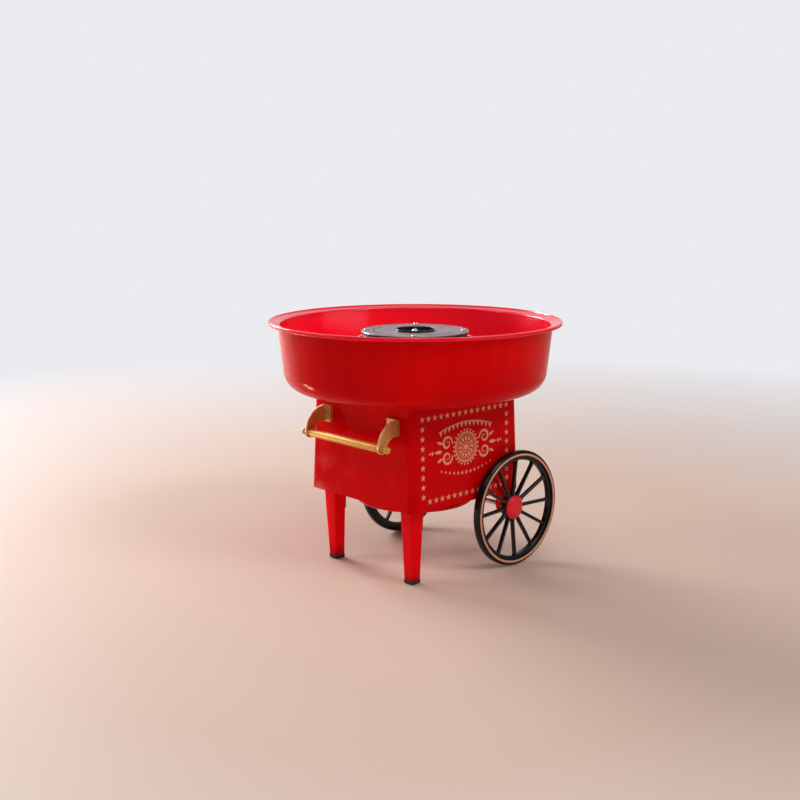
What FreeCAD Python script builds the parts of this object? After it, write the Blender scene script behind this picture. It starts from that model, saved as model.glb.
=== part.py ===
import FreeCAD, Part
import math
import os

# A tabletop cotton candy machine shaped like a two wheeled carnival cart.
# The origin is on the floor below the spinning head. +Z is up, +X points to the wheels,
# the push handle is at -X, and left is +Y for a person who stands behind the handle.

# ---------------------------------------------------------------- driving sizes, millimetres

# Fits
moving_gap = 0.3            # between pieces that move past each other
running_gap = 0.05          # a shaft in its bearing, on the radius
screw_gap = 0.05            # a screw, pin or lead in its hole, on the radius
cover_gap = 0.3             # a cover inside its opening

# Body: a square box whose walls draw in towards the top, open below
leg_height = 79.1
body_height = 108.2
body_half = 79.2
body_draft = 0.03
body_corner_r = 7.5
body_wall = 2.4
deck_wall = 2.6
deck_edge = 1.5
deck_hole_r = 24.0
pillar_y = 34.0
pillar_r = 4.2
pillar_height = 16.0

# Bottom cover with a round dish below the motor
cover_wall = 2.4
dish_depth = 12.7
dish_floor_r = 61.5
dish_mouth_r = 68.2
dish_corner_r = 10.0
vent_count = 7
vent_pitch = 9.0
vent_width = 3.0
vent_length = 34.0

# Front legs, square and tapered, each with a foot cap
leg_inset_x = 9.6
leg_inset_y = 10.9
leg_lean_x = 3.9
leg_lean_y = 3.6
leg_top_width = 16.6
leg_foot_width = 11.6
leg_corner_r = 1.3
leg_shoulder_drop = 23.0
leg_shoulder = 0.7
foot_cap_height = 4.4
foot_cap_floor = 1.6
foot_cap_skin = 0.3
foot_cap_bevel = 1.1

# Wheels on a fixed axle
axle_drop = 17.2            # the axle below the body's foot; the wheels reach the floor from there
axle_inset = 15.1
axle_r = 2.5
wheel_body_gap = 4.4
rim_thickness = 8.0
rim_width = 10.3
rim_round = 2.6
stripe_inset = 3.3
stripe_width = 2.1
stripe_depth = 0.8
stripe_height = 1.1
spoke_count = 12
spoke_width = 3.5
spoke_depth = 4.2
spoke_round = 1.0
spoke_step = 0.3            # the spokes' front lies this far behind the hub's face
wheel_dish = 6.2            # the hub's face lies this far inside the rim's face
hub_r = 14.6
hub_neck_r = 11.6
hub_reach = 8.5
hub_recess_r = 10.6
hub_recess_depth = 2.6
hub_cap_r = 12.6
hub_cap_height = 3.4
hub_cap_wall = 1.2
hub_cap_shoulder = 0.62     # where the crown starts to fall, as a share of the cap's radius
retainer_r = 5.0
retainer_width = 1.4
bracket_half_width = 7.5
bracket_thickness = 9.0

# Push handle on two fan shaped brackets
handle_reach = 21.3
handle_drop = 42.3
handle_bar_r = 4.2
handle_bolt_r = 2.2
fan_inner_y = 54.4
fan_thickness = 2.8
fan_height = 17.1
fan_root_rise = 1.84        # lower edge of the flange above the bar, as a share of the tip
fan_tip_r = 5.5
fan_crown_in = 0.30         # how far the middle of the outer curve lies inside its corner
fan_hollow_in = 0.40        # middle of the lower curve, as shares of the reach and the tip
fan_hollow_down = 0.75
flange_inner_y = 43.4
flange_outer_y = 58.2
flange_thickness = 3.8
knob_r = 3.6
knob_collar_r = 3.7
knob_collar_length = 1.8
knob_socket_depth = 1.1
knob_neck_length = 4.8
handle_screw_y = 48.6
handle_screw_rise = 17.7

# Bowl
bowl_height = 73.0
bowl_rim_r = 153.2
bowl_rim_width = 9.7
bowl_rim_rise = 3.2         # how far the rim climbs from the wall to its outer edge
bowl_lip_depth = 3.6
bowl_lip_wall = 1.8
bowl_lean = 7.3
bowl_corner_r = 21.0
bowl_wall = 2.2
bowl_collar_height = 38.4
bowl_collar_gap = 3.0
bowl_collar_flare = 4.0

# Tower, heater pan and heater
tower_height = 31.7
tower_wall = 2.6
tower_flange_wall = 2.5
tower_flange_width = 7.7
pan_height = 20.5
pan_wall = 1.0
pan_corner_r = 6.0
pan_hole_r = 9.0
pan_ring_width = 2.9
pan_ring_height = 2.0
pan_ring_gap = 1.6
element_r = 42.0
element_tube_r = 2.5
element_clearance = 4.5
element_gap_angle = 24.0
element_leg_length = 12.0
post_r = 4.0
insulator_wall = 1.6
fuse_strap_wall = 0.8

# Spinning head
head_lift = 12.5
head_disc_r = 56.8
head_disc_wall = 3.0
head_disc_hole_r = 21.0
head_slot = 1.2
head_cup_depth = 13.0
head_cup_wall = 1.5
head_cup_floor_r = 41.0
head_cup_mouth_r = 46.0
head_screw_circle_r = 51.0
head_screw_count = 4
head_nut_r = 2.8
head_nut_height = 2.2
funnel_wall = 1.2
funnel_throat_r = 13.0
funnel_depth = 10.0
funnel_lip = 5.0
head_hub_r = 6.5
head_hub_flange_r = 13.0
head_hub_flange_wall = 2.5
head_hub_rise = 12.0
head_hub_drop = 3.5

# Shaft and drive
shaft_r = 3.5
shaft_tip_rise = 1.6
drive_pin_r = 1.2
drive_pin_half_length = 5.6
drive_collar_r = 5.5

# Motor
motor_r = 27.0
motor_can_height = 58.0
motor_can_wall = 1.5
motor_end_cap_wall = 4.0
motor_shaft_r = 2.5
motor_bush_r = 5.0
motor_boss_r = 8.0
motor_boss_height = 3.0
magnet_wall = 4.5
magnet_split = 16.0
rotor_air_gap = 0.5
rotor_length = 34.0
rotor_slot_count = 5
rotor_slot_width = 3.0
rotor_slot_depth = 6.0
winding_height = 4.5
commutator_r = 6.5
commutator_length = 7.0
commutator_cut_width = 0.4
commutator_cut_depth = 1.0
brush_length = 6.0
brush_width = 4.0
brush_rise = 2.0
brush_holder_wall = 1.0
plate_half = 42.0
plate_wall = 1.6
grommet_offset = 34.0
grommet_r = 6.0
grommet_waist_r = 4.0
grommet_lip = 2.4
boss_r = 4.5
boss_length = 8.7

# Power switch and cord inlet in the wheel end wall
switch_rise = 56.0
switch_half_width = 6.4
switch_half_height = 9.6
switch_bezel = 1.2
switch_bezel_wall = 2.0
switch_depth = 13.0
switch_cavity_depth = 6.0
switch_cavity_wall = 0.9
rocker_tilt = 12.0
rocker_dip = 1.6
rocker_stand_out = 2.2
rocker_pin_r = 1.2
blade_width = 4.8
blade_wall = 0.8
blade_length = 8.0
blade_spread = 5.0
inlet_rise = 22.0
inlet_hole_r = 6.0
inlet_bore_r = 3.3
inlet_lip_r = 8.0
inlet_lip_wall = 2.0

# Power board on the dish floor
board_half_x = 26.0
board_half_y = 19.0
board_wall = 1.6
board_post_r = 3.2
board_post_height = 5.0
board_post_inset = 4.0
rectifier_width = 15.0
rectifier_thickness = 4.0
rectifier_height = 11.0
terminal_width = 18.0
terminal_depth = 8.0
terminal_height = 9.0
capacitor_width = 13.0
capacitor_thickness = 6.0
capacitor_height = 12.0
wire_r = 1.0
wire_bend = 0.45
wire_rise = 0.4             # first and second bend of a wire below the motor, as shares of
wire_turn = 0.7             # the height between the wire's start and the motor

# Fasteners: shank radius, head radius and head height
small_shank_r = 1.5
small_head_r = 2.6
small_head_height = 1.5
large_shank_r = 1.9
large_head_r = 3.5
large_head_height = 1.8

# Screw head form, as shares of the head's radius or height
cross_reach = 0.55
cross_half_width = 0.1
cross_floor = 0.45
head_round = 0.8

# ---------------------------------------------------------------- places worked out from the sizes

body_bottom = leg_height
body_top = body_bottom + body_height
deck_under = body_top - deck_wall
cover_top = body_bottom + cover_wall
dish_floor = body_bottom - dish_depth

wheel_r = leg_height - axle_drop
stripe_r = wheel_r - stripe_inset
axle_x = body_half - axle_inset
axle_z = wheel_r
wheel_inner_y = body_half + wheel_body_gap
wheel_face_y = wheel_inner_y + rim_thickness
spoke_rim_y = wheel_inner_y + rim_thickness / 2
hub_inner_y = wheel_inner_y - hub_reach
hub_face_y = wheel_face_y - wheel_dish
spoke_hub_y = hub_face_y - spoke_step - spoke_depth / 2
recess_floor_y = hub_face_y - hub_recess_depth
bracket_outer_y = hub_inner_y - moving_gap
bracket_inner_y = bracket_outer_y - bracket_thickness

bowl_bottom = body_top + moving_gap
bowl_top = bowl_bottom + bowl_height

tower_top = body_top + tower_height
pan_floor = tower_top + pan_wall
pan_top = tower_top + pan_height
pan_ring_inner_r = head_disc_r + pan_ring_gap
pan_ring_outer_r = pan_ring_inner_r + pan_ring_width
pan_r = (pan_ring_inner_r + pan_ring_outer_r + pan_wall) / 2
bowl_hole_r = pan_ring_outer_r + bowl_collar_gap
tower_flange_r = bowl_hole_r - 2 * moving_gap
tower_r = tower_flange_r - tower_flange_width
tower_screw_circle_r = tower_flange_r - tower_flange_width / 2
element_z = pan_floor + element_clearance + element_tube_r

head_bottom = tower_top + head_lift
cup_top = head_bottom + head_cup_depth
disc_bottom = cup_top + head_slot
disc_top = disc_bottom + head_disc_wall
hub_flange_bottom = head_bottom - head_hub_flange_wall
head_hub_bottom = hub_flange_bottom - head_hub_drop
drive_pin_z = head_hub_bottom + moving_gap + drive_pin_r
drive_slot_top = drive_pin_z + drive_pin_r + moving_gap
drive_collar_top = head_hub_bottom - moving_gap
shaft_tip_z = disc_top + shaft_tip_rise

boss_bottom = deck_under - boss_length
plate_top = boss_bottom - grommet_lip
plate_bottom = plate_top - plate_wall
can_top = plate_bottom - motor_end_cap_wall
can_bottom = can_top - motor_can_height
shaft_step_z = plate_top + motor_boss_height + moving_gap
magnet_r = motor_r - motor_can_wall - screw_gap
rotor_r = magnet_r - magnet_wall - rotor_air_gap
commutator_top = can_top - moving_gap
commutator_bottom = commutator_top - commutator_length
rotor_top = commutator_bottom - winding_height
rotor_bottom = rotor_top - rotor_length

switch_z = body_bottom + switch_rise
inlet_z = body_bottom + inlet_rise
board_z = dish_floor + cover_wall + board_post_height
board_top = board_z + board_wall

up = FreeCAD.Vector(0, 0, 1)
down = FreeCAD.Vector(0, 0, -1)
to_left = FreeCAD.Vector(0, 1, 0)
to_handle = FreeCAD.Vector(-1, 0, 0)
to_wheels = FreeCAD.Vector(1, 0, 0)
centre = FreeCAD.Vector(0, 0, 0)
beyond = 1.0                # how far a cutting tool runs past the face it opens
inside_wall_x = body_half - 4 * body_wall   # where a tool that opens an end wall stops inside


# ---------------------------------------------------------------- shape helpers

def point(x, y, z):
    return FreeCAD.Vector(x, y, z)


def unit(vector):
    return vector * (1.0 / vector.Length)


def rounded_wire(spots, radii):
    """Closed wire through the spots, each corner rounded by its radius."""
    count = len(spots)
    starts = []
    ends = []
    arcs = []
    for index, spot in enumerate(spots):
        back = unit(spots[index - 1] - spot)
        ahead = unit(spots[(index + 1) % count] - spot)
        radius = radii[index]
        if radius <= 0:
            starts.append(spot)
            ends.append(spot)
            arcs.append(None)
            continue
        half_angle = back.getAngle(ahead) / 2
        reach = radius / math.tan(half_angle)
        inward = unit(back + ahead)
        middle = spot + inward * (radius / math.sin(half_angle) - radius)
        starts.append(spot + back * reach)
        ends.append(spot + ahead * reach)
        arcs.append(Part.Arc(starts[-1], middle, ends[-1]).toShape())
    edges = []
    for index in range(count):
        if arcs[index] is not None:
            edges.append(arcs[index])
        following = starts[(index + 1) % count]
        if ends[index].distanceToPoint(following) > 1e-6:
            edges.append(Part.makeLine(ends[index], following))
    return Part.Wire(edges)


def wire_of(corners, place):
    """Closed wire from (u, v, radius) corners; place makes a point of u and v."""
    spots = [place(u, v) for u, v, radius in corners]
    radii = [radius for u, v, radius in corners]
    return rounded_wire(spots, radii)


def turned(corners):
    """Solid of revolution about Z from a section of (radius, height, rounding) corners."""
    section = Part.Face(wire_of(corners, lambda r, z: point(r, 0, z)))
    return section.revolve(centre, up, 360)


def turned_on_axle(corners):
    """Solid of revolution about the wheel axle from (radius, y, rounding) corners."""
    section = Part.Face(wire_of(corners, lambda r, y: point(axle_x + r, y, axle_z)))
    return section.revolve(point(axle_x, 0, axle_z), to_left, 360)


def disc(radius, low, high, x=0, y=0):
    return Part.makeCylinder(radius, high - low, point(x, y, low), up)


def ring(outer, inner, low, high, x=0, y=0):
    return disc(outer, low, high, x, y).cut(disc(inner, low - beyond, high + beyond, x, y))


def rod_y(radius, low, high, x, z):
    return Part.makeCylinder(radius, high - low, point(x, low, z), to_left)


def rod_x(radius, low, high, y, z):
    return Part.makeCylinder(radius, high - low, point(low, y, z), to_wheels)


def block(x_range, y_range, z_range):
    size_x = x_range[1] - x_range[0]
    size_y = y_range[1] - y_range[0]
    size_z = z_range[1] - z_range[0]
    return Part.makeBox(size_x, size_y, size_z, point(x_range[0], y_range[0], z_range[0]))


def rectangle_corners(x_range, y_range, radius):
    return [(x_range[0], y_range[0], radius), (x_range[1], y_range[0], radius),
            (x_range[1], y_range[1], radius), (x_range[0], y_range[1], radius)]


def flat_plate(x_range, y_range, radius, low, high):
    """Level plate with rounded corners."""
    corners = rectangle_corners(x_range, y_range, radius)
    face = Part.Face(wire_of(corners, lambda x, y: point(x, y, low)))
    return face.extrude(point(0, 0, high - low))


def around(count, start=0.0):
    """Angles in degrees, evenly spaced round a circle."""
    return [start + 360.0 * index / count for index in range(count)]


def on_circle(radius, angle):
    turn = math.radians(angle)
    return radius * math.cos(turn), radius * math.sin(turn)


def joined(shapes):
    return shapes[0].fuse(shapes[1:]).removeSplitter()


def mirrored(shape):
    """The same piece on the other side of the cart."""
    return shape.mirror(centre, to_left)


def screw(place, direction, length, shank_r, head_r, head_height):
    """Pan head screw whose head points along direction and seats at place."""
    head = turned_head(head_r, head_height)
    shank = disc(shank_r, -length, 0)
    made = joined([head, shank])
    for angle in (0, 90):
        slot = block((-head_r * cross_reach, head_r * cross_reach),
                     (-head_r * cross_half_width, head_r * cross_half_width),
                     (head_height * cross_floor, head_height + beyond))
        slot.rotate(centre, up, angle)
        made = made.cut(slot)
    made.Placement = FreeCAD.Placement(place, FreeCAD.Rotation(up, direction))
    return made


def turned_head(head_r, head_height):
    return turned([(0, 0, 0), (head_r, 0, 0), (head_r, head_height, head_height * head_round),
                   (0, head_height, 0)])


def small_screw(place, direction, length):
    return screw(place, direction, length, small_shank_r, small_head_r, small_head_height)


def large_screw(place, direction, length):
    return screw(place, direction, length, large_shank_r, large_head_r, large_head_height)


def small_hole(x, y, low, high):
    return disc(small_shank_r + screw_gap, low, high, x, y)


def large_hole(x, y, low, high):
    return disc(large_shank_r + screw_gap, low, high, x, y)


# ---------------------------------------------------------------- body

def body_half_at(z):
    return body_half - body_draft * (z - body_bottom)


def body_section(z, inset):
    half = body_half_at(z) - inset
    corners = rectangle_corners((-half, half), (-half, half), body_corner_r - inset)
    return wire_of(corners, lambda x, y: point(x, y, z))


def body_envelope():
    """The outside of the body, without its openings."""
    sections = [body_section(body_bottom, 0), body_section(body_top - deck_edge, 0),
                body_section(body_top, deck_edge)]
    return Part.makeLoft(sections, True, True)


def body_cavity():
    sections = [body_section(body_bottom - beyond, body_wall), body_section(deck_under, body_wall)]
    return Part.makeLoft(sections, True, True)


def pillar_spots():
    """Centres of the four screw pillars that hold the bottom cover."""
    x = body_half - body_wall - pillar_r - cover_wall
    return [(end * x, side * pillar_y) for end in (-1, 1) for side in (-1, 1)]


def grommet_spots():
    return [(end * grommet_offset, side * grommet_offset) for end in (-1, 1) for side in (-1, 1)]


def tower_screw_spots():
    return [on_circle(tower_screw_circle_r, angle) for angle in around(4, 45.0)]


def handle_screw_z():
    return handle_z() + handle_screw_rise


def handle_z():
    return body_top - handle_drop


def body_shell():
    shell = body_envelope().cut(body_cavity())
    inside = []
    for x, y in pillar_spots():
        outer = math.copysign(body_half, x)
        rib = block((min(x, outer), max(x, outer)), (y - body_wall / 2, y + body_wall / 2),
                    (cover_top, cover_top + pillar_height))
        inside.append(disc(pillar_r, cover_top, cover_top + pillar_height, x, y))
        inside.append(rib.common(body_envelope()))
    for x, y in grommet_spots():
        inside.append(disc(boss_r, boss_bottom, deck_under + deck_wall / 2, x, y))
    shell = joined([shell] + inside)
    openings = [disc(deck_hole_r, deck_under - beyond, body_top + beyond)]
    for x, y in pillar_spots():
        openings.append(small_hole(x, y, cover_top - beyond, cover_top + pillar_height - beyond))
    for x, y in grommet_spots():
        openings.append(large_hole(x, y, boss_bottom - beyond, boss_bottom + boss_length - beyond))
    for x, y in tower_screw_spots():
        openings.append(small_hole(x, y, deck_under - beyond, body_top + beyond))
    for side in (-1, 1):
        openings.append(rod_x(small_shank_r + screw_gap, -body_half - beyond, -inside_wall_x,
                              side * handle_screw_y, handle_screw_z()))
    openings.append(switch_cutout())
    openings.append(rod_x(inlet_hole_r, inside_wall_x, body_half + beyond, 0, inlet_z))
    return shell.cut(openings)


def switch_cutout():
    return block((inside_wall_x, body_half + beyond),
                 (-switch_half_width - cover_gap / 2, switch_half_width + cover_gap / 2),
                 (switch_z - switch_half_height - cover_gap / 2,
                  switch_z + switch_half_height + cover_gap / 2))


def dish_r_at(z):
    return dish_floor_r + (dish_mouth_r - dish_floor_r) * (z - dish_floor) / dish_depth


def board_post_spots():
    x = board_half_x - board_post_inset
    y = board_half_y - board_post_inset
    return [(end * x, side * y) for end in (-1, 1) for side in (-1, 1)]


def bottom_cover():
    inset = body_wall + cover_gap
    plate = Part.makeLoft([body_section(body_bottom, inset), body_section(cover_top, inset)], True, True)
    wall_run = cover_wall * math.hypot(1, (dish_mouth_r - dish_floor_r) / dish_depth)
    dish_inside = dish_floor + cover_wall
    outside = turned([(0, dish_floor, 0), (dish_floor_r, dish_floor, dish_corner_r),
                      (dish_mouth_r, body_bottom, 0), (dish_mouth_r, cover_top, 0), (0, cover_top, 0)])
    inside = turned([(0, dish_inside, 0),
                     (dish_r_at(dish_inside) - wall_run, dish_inside, dish_corner_r - cover_wall),
                     (dish_r_at(cover_top + beyond) - wall_run, cover_top + beyond, 0),
                     (0, cover_top + beyond, 0)])
    cover = joined([plate, outside]).cut(inside)
    posts = [disc(board_post_r, dish_floor + cover_wall / 2, board_z, x, y) for x, y in board_post_spots()]
    cover = joined([cover] + posts)
    holes = [vent_slot(index) for index in range(vent_count)]
    holes += [mirrored(slot) for slot in holes]
    for x, y in board_post_spots():
        holes.append(small_hole(x, y, board_z - board_post_height, board_z + beyond))
    for x, y in pillar_spots() + [leg_screw_spot(side) for side in (-1, 1)]:
        holes.append(small_hole(x, y, body_bottom - beyond, cover_top + beyond))
    for side in (-1, 1):
        holes.append(small_hole(axle_x, side * bracket_mid_y(), body_bottom - beyond, cover_top + beyond))
    return cover.cut(holes)


def vent_slot(index):
    """One of the cooling slots beside the power board."""
    x = (index - (vent_count - 1) / 2) * vent_pitch
    near = board_half_y + vent_width
    far = min(near + vent_length, math.sqrt((dish_floor_r - dish_corner_r) ** 2 - x * x))
    return flat_plate((x - vent_width / 2, x + vent_width / 2), (near, far), vent_width * 0.49,
                      dish_floor - beyond, dish_floor + cover_wall + beyond)


# ---------------------------------------------------------------- legs

def leg_ranges(z, growth):
    """X and Y ranges of the left leg at height z; growth widens its two hidden faces."""
    share = z / leg_height
    width = leg_foot_width + (leg_top_width - leg_foot_width) * share + growth
    outer_x = -(body_half - leg_inset_x) + leg_lean_x * (1 - share)
    outer_y = body_half - leg_inset_y - leg_lean_y * (1 - share)
    return (outer_x, outer_x + width), (outer_y - width, outer_y)


def leg_section(z, growth=0.0, skin=0.0):
    x_range, y_range = leg_ranges(z, growth)
    corners = rectangle_corners((x_range[0] - skin, x_range[1] + skin),
                                (y_range[0] - skin, y_range[1] + skin), leg_corner_r)
    return wire_of(corners, lambda x, y: point(x, y, z))


def leg_screw_spot(side):
    x_range, y_range = leg_ranges(leg_height, leg_shoulder)
    return sum(x_range) / 2, side * sum(y_range) / 2


def leg_solid():
    shoulder_z = leg_height - leg_shoulder_drop
    lower = Part.makeLoft([leg_section(foot_cap_floor), leg_section(shoulder_z)], True, True)
    upper = Part.makeLoft([leg_section(shoulder_z, leg_shoulder), leg_section(leg_height, leg_shoulder)],
                          True, True)
    return joined([lower, upper])


def front_leg():
    x, y = leg_screw_spot(1)
    return leg_solid().cut(small_hole(x, y, leg_height - 12 * small_shank_r, leg_height + beyond))


def foot_cap():
    low = [leg_section(0, skin=foot_cap_skin - foot_cap_bevel),
           leg_section(foot_cap_bevel, skin=foot_cap_skin),
           leg_section(foot_cap_height, skin=foot_cap_skin)]
    return Part.makeLoft(low, True, True).cut(leg_solid())


def leg_screws():
    length = cover_wall + 8 * small_shank_r
    spots = [leg_screw_spot(side) for side in (-1, 1)]
    return [small_screw(point(x, y, cover_top), up, length) for x, y in spots]


# ---------------------------------------------------------------- wheels and axle

def bracket_mid_y():
    return bracket_inner_y + bracket_thickness / 2


def axle_bracket():
    half = bracket_half_width
    corners = [(axle_x - half, axle_z - half, half), (axle_x + half, axle_z - half, half),
               (axle_x + half, body_bottom, 0), (axle_x - half, body_bottom, 0)]
    face = Part.Face(wire_of(corners, lambda x, z: point(x, bracket_inner_y, z)))
    tab = face.extrude(point(0, bracket_thickness, 0))
    axle_bore = rod_y(axle_r + screw_gap, bracket_inner_y - beyond, bracket_outer_y + beyond, axle_x, axle_z)
    screw_low = axle_z + axle_r + 2 * small_shank_r
    return tab.cut([axle_bore, small_hole(axle_x, bracket_mid_y(), screw_low, body_bottom + beyond)])


def bracket_screws():
    length = body_bottom - axle_z - axle_r - 3 * small_shank_r + cover_wall
    return [small_screw(point(axle_x, side * bracket_mid_y(), cover_top), up, length) for side in (-1, 1)]


def wheel_axle():
    end = recess_floor_y + moving_gap + retainer_width + screw_gap
    return rod_y(axle_r, -end, end, axle_x, axle_z)


def axle_retainer():
    low = recess_floor_y + moving_gap
    washer = rod_y(retainer_r, low, low + retainer_width, axle_x, axle_z)
    return washer.cut(rod_y(axle_r + screw_gap, low - beyond, low + retainer_width + beyond, axle_x, axle_z))


def spoke():
    """Leans outwards from the hub to the rim."""
    half = spoke_width / 2
    corners = rectangle_corners((-half, half), (spoke_hub_y - spoke_depth / 2, spoke_hub_y + spoke_depth / 2),
                                spoke_round)
    start = axle_x + hub_neck_r
    section = Part.Face(wire_of(corners, lambda z, y: point(start, y, axle_z + z)))
    return section.extrude(point(wheel_r - rim_width / 2 - hub_neck_r, spoke_rim_y - spoke_hub_y, 0))


def wheel():
    inner_r = wheel_r - rim_width
    rim = turned_on_axle([(inner_r, wheel_inner_y + moving_gap, rim_round / 2),
                          (wheel_r, wheel_inner_y, rim_round), (wheel_r, wheel_face_y, rim_round),
                          (inner_r, wheel_face_y - stripe_depth, rim_round / 2)])
    bore = axle_r + running_gap
    shoulder_y = spoke_hub_y - spoke_depth / 2
    hub = turned_on_axle([(bore, hub_inner_y, 0), (hub_neck_r, hub_inner_y, spoke_round),
                          (hub_neck_r, shoulder_y + hub_neck_r - hub_r, 0), (hub_r, shoulder_y, spoke_round),
                          (hub_r, hub_face_y, spoke_round), (hub_recess_r, hub_face_y, 0),
                          (hub_recess_r, recess_floor_y, 0), (bore, recess_floor_y, 0)])
    spokes = []
    for angle in around(spoke_count):
        one = spoke()
        one.rotate(point(axle_x, 0, axle_z), to_left, angle)
        spokes.append(one)
    return joined([rim, hub] + spokes).cut(stripe_groove())


def stripe_ring(low, high):
    inner = stripe_r - stripe_width
    return rod_y(stripe_r, low, high, axle_x, axle_z).cut(
        rod_y(inner, low - beyond, high + beyond, axle_x, axle_z))


def stripe_groove():
    return stripe_ring(wheel_face_y - 2 * stripe_depth, wheel_face_y + beyond)


def wheel_stripe():
    low = wheel_face_y - 2 * stripe_depth
    return stripe_ring(low, low + stripe_height + stripe_depth)


def hub_cap():
    crown = hub_face_y + hub_cap_height
    edge = hub_face_y + hub_cap_wall
    skirt_r = hub_recess_r - screw_gap
    skirt_low = hub_face_y - hub_recess_depth / 2
    inside = crown - hub_cap_wall
    shoulder = (hub_cap_r * hub_cap_shoulder, crown - hub_cap_wall / 4, hub_cap_r / 2)
    return turned_on_axle([(0, crown, 0), shoulder,
                           (hub_cap_r, edge, hub_cap_wall / 2), (hub_cap_r, hub_face_y, 0),
                           (skirt_r, hub_face_y, 0), (skirt_r, skirt_low, 0),
                           (skirt_r - hub_cap_wall, skirt_low, 0), (skirt_r - hub_cap_wall, edge, 0),
                           (0, inside, 0)])


# ---------------------------------------------------------------- push handle

def handle_axis_x():
    return -(body_half_at(handle_z()) + handle_reach)


def fan_low():
    return handle_z() + fan_tip_r * fan_root_rise


def flange_face_x():
    return -(body_half_at(fan_low()) + flange_thickness)


def handle_bracket():
    """The left bracket: a flange screwed to the end wall and a fan shaped plate."""
    bar_x = handle_axis_x()
    bar_z = handle_z()
    low = fan_low()
    high = low + fan_height
    flange_face = flange_face_x()
    flange = block((flange_face, -body_half / 2), (flange_inner_y, flange_outer_y), (low, high))
    root = -body_half / 2
    front = bar_x - fan_tip_r
    crown = Part.Arc(point(flange_face, fan_inner_y, high),
                     point(front + (flange_face - front) * fan_crown_in, fan_inner_y,
                           high - (high - bar_z) * fan_crown_in),
                     point(front, fan_inner_y, bar_z)).toShape()
    tip = Part.Arc(point(front, fan_inner_y, bar_z), point(bar_x, fan_inner_y, bar_z - fan_tip_r),
                   point(bar_x + fan_tip_r, fan_inner_y, bar_z)).toShape()
    hollow = Part.Arc(point(bar_x + fan_tip_r, fan_inner_y, bar_z),
                      point(bar_x + handle_reach * fan_hollow_in, fan_inner_y,
                            low - fan_tip_r * fan_hollow_down),
                      point(flange_face, fan_inner_y, low)).toShape()
    back = [Part.makeLine(point(flange_face, fan_inner_y, low), point(root, fan_inner_y, low)),
            Part.makeLine(point(root, fan_inner_y, low), point(root, fan_inner_y, high)),
            Part.makeLine(point(root, fan_inner_y, high), point(flange_face, fan_inner_y, high))]
    fan = Part.Face(Part.Wire([crown, tip, hollow] + back)).extrude(point(0, fan_thickness, 0))
    bracket = joined([flange, fan]).cut(body_envelope())
    bolt_hole = rod_y(handle_bolt_r + screw_gap, fan_inner_y - beyond, fan_inner_y + fan_thickness + beyond,
                      bar_x, bar_z)
    screw_hole = rod_x(small_shank_r + screw_gap, -body_half * 2, 0, handle_screw_y, handle_screw_z())
    return bracket.cut([bolt_hole, screw_hole])


def handle_bar():
    """The grip, with a thin spigot through each bracket for its knob."""
    bar_x = handle_axis_x()
    bar_z = handle_z()
    spigot_end = fan_inner_y + fan_thickness + knob_socket_depth
    grip = rod_y(handle_bar_r, -fan_inner_y, fan_inner_y, bar_x, bar_z)
    spigot = rod_y(handle_bolt_r, -spigot_end, spigot_end, bar_x, bar_z)
    return joined([grip, spigot])


def handle_knob():
    bar_x = handle_axis_x()
    bar_z = handle_z()
    low = fan_inner_y + fan_thickness
    collar_end = low + knob_collar_length
    ball_y = collar_end + knob_neck_length
    collar = rod_y(knob_collar_r, low, collar_end, bar_x, bar_z)
    neck = rod_y(handle_bolt_r, low, ball_y, bar_x, bar_z)
    ball = Part.makeSphere(knob_r, point(bar_x, ball_y, bar_z))
    socket = rod_y(handle_bolt_r + screw_gap, low - beyond, low + knob_socket_depth + screw_gap, bar_x, bar_z)
    return joined([collar, neck, ball]).cut(socket)


def handle_screws():
    length = flange_thickness + 4 * small_shank_r
    return Part.makeCompound([small_screw(point(flange_face_x(), side * handle_screw_y, handle_screw_z()),
                                          to_handle, length) for side in (-1, 1)])


# ---------------------------------------------------------------- bowl

def bowl():
    rim_bottom = bowl_top - bowl_lip_depth
    wall_top_r = bowl_rim_r - bowl_rim_width
    wall_low_r = wall_top_r - bowl_lean
    rim_low = bowl_top - bowl_rim_rise
    lean = bowl_lean / (rim_low - bowl_wall - bowl_bottom)
    wall_run = bowl_wall * math.hypot(1, lean)
    lip_inner_r = bowl_rim_r - bowl_lip_wall
    rim_slope = bowl_rim_rise / (bowl_rim_width + wall_run)
    floor_top = bowl_bottom + bowl_wall
    collar_top = bowl_bottom + bowl_collar_height
    collar_r = bowl_hole_r + bowl_wall
    return turned([(bowl_hole_r, bowl_bottom, 0), (wall_low_r, bowl_bottom, bowl_corner_r),
                   (wall_top_r, rim_low - bowl_wall, bowl_wall / 2),
                   (lip_inner_r, bowl_top - bowl_wall - rim_slope * bowl_lip_wall, bowl_wall / 6),
                   (lip_inner_r, rim_bottom, bowl_lip_wall / 4),
                   (bowl_rim_r, rim_bottom, bowl_lip_wall / 3), (bowl_rim_r, bowl_top, bowl_lip_wall / 2),
                   (wall_top_r - wall_run, rim_low, bowl_wall),
                   (wall_low_r + lean * bowl_wall - wall_run, floor_top, bowl_corner_r - bowl_wall),
                   (collar_r + bowl_collar_flare, floor_top, bowl_corner_r / 3),
                   (collar_r, collar_top, bowl_wall * 0.4), (bowl_hole_r, collar_top, bowl_wall * 0.4)])


# ---------------------------------------------------------------- tower, pan and heater

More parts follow.
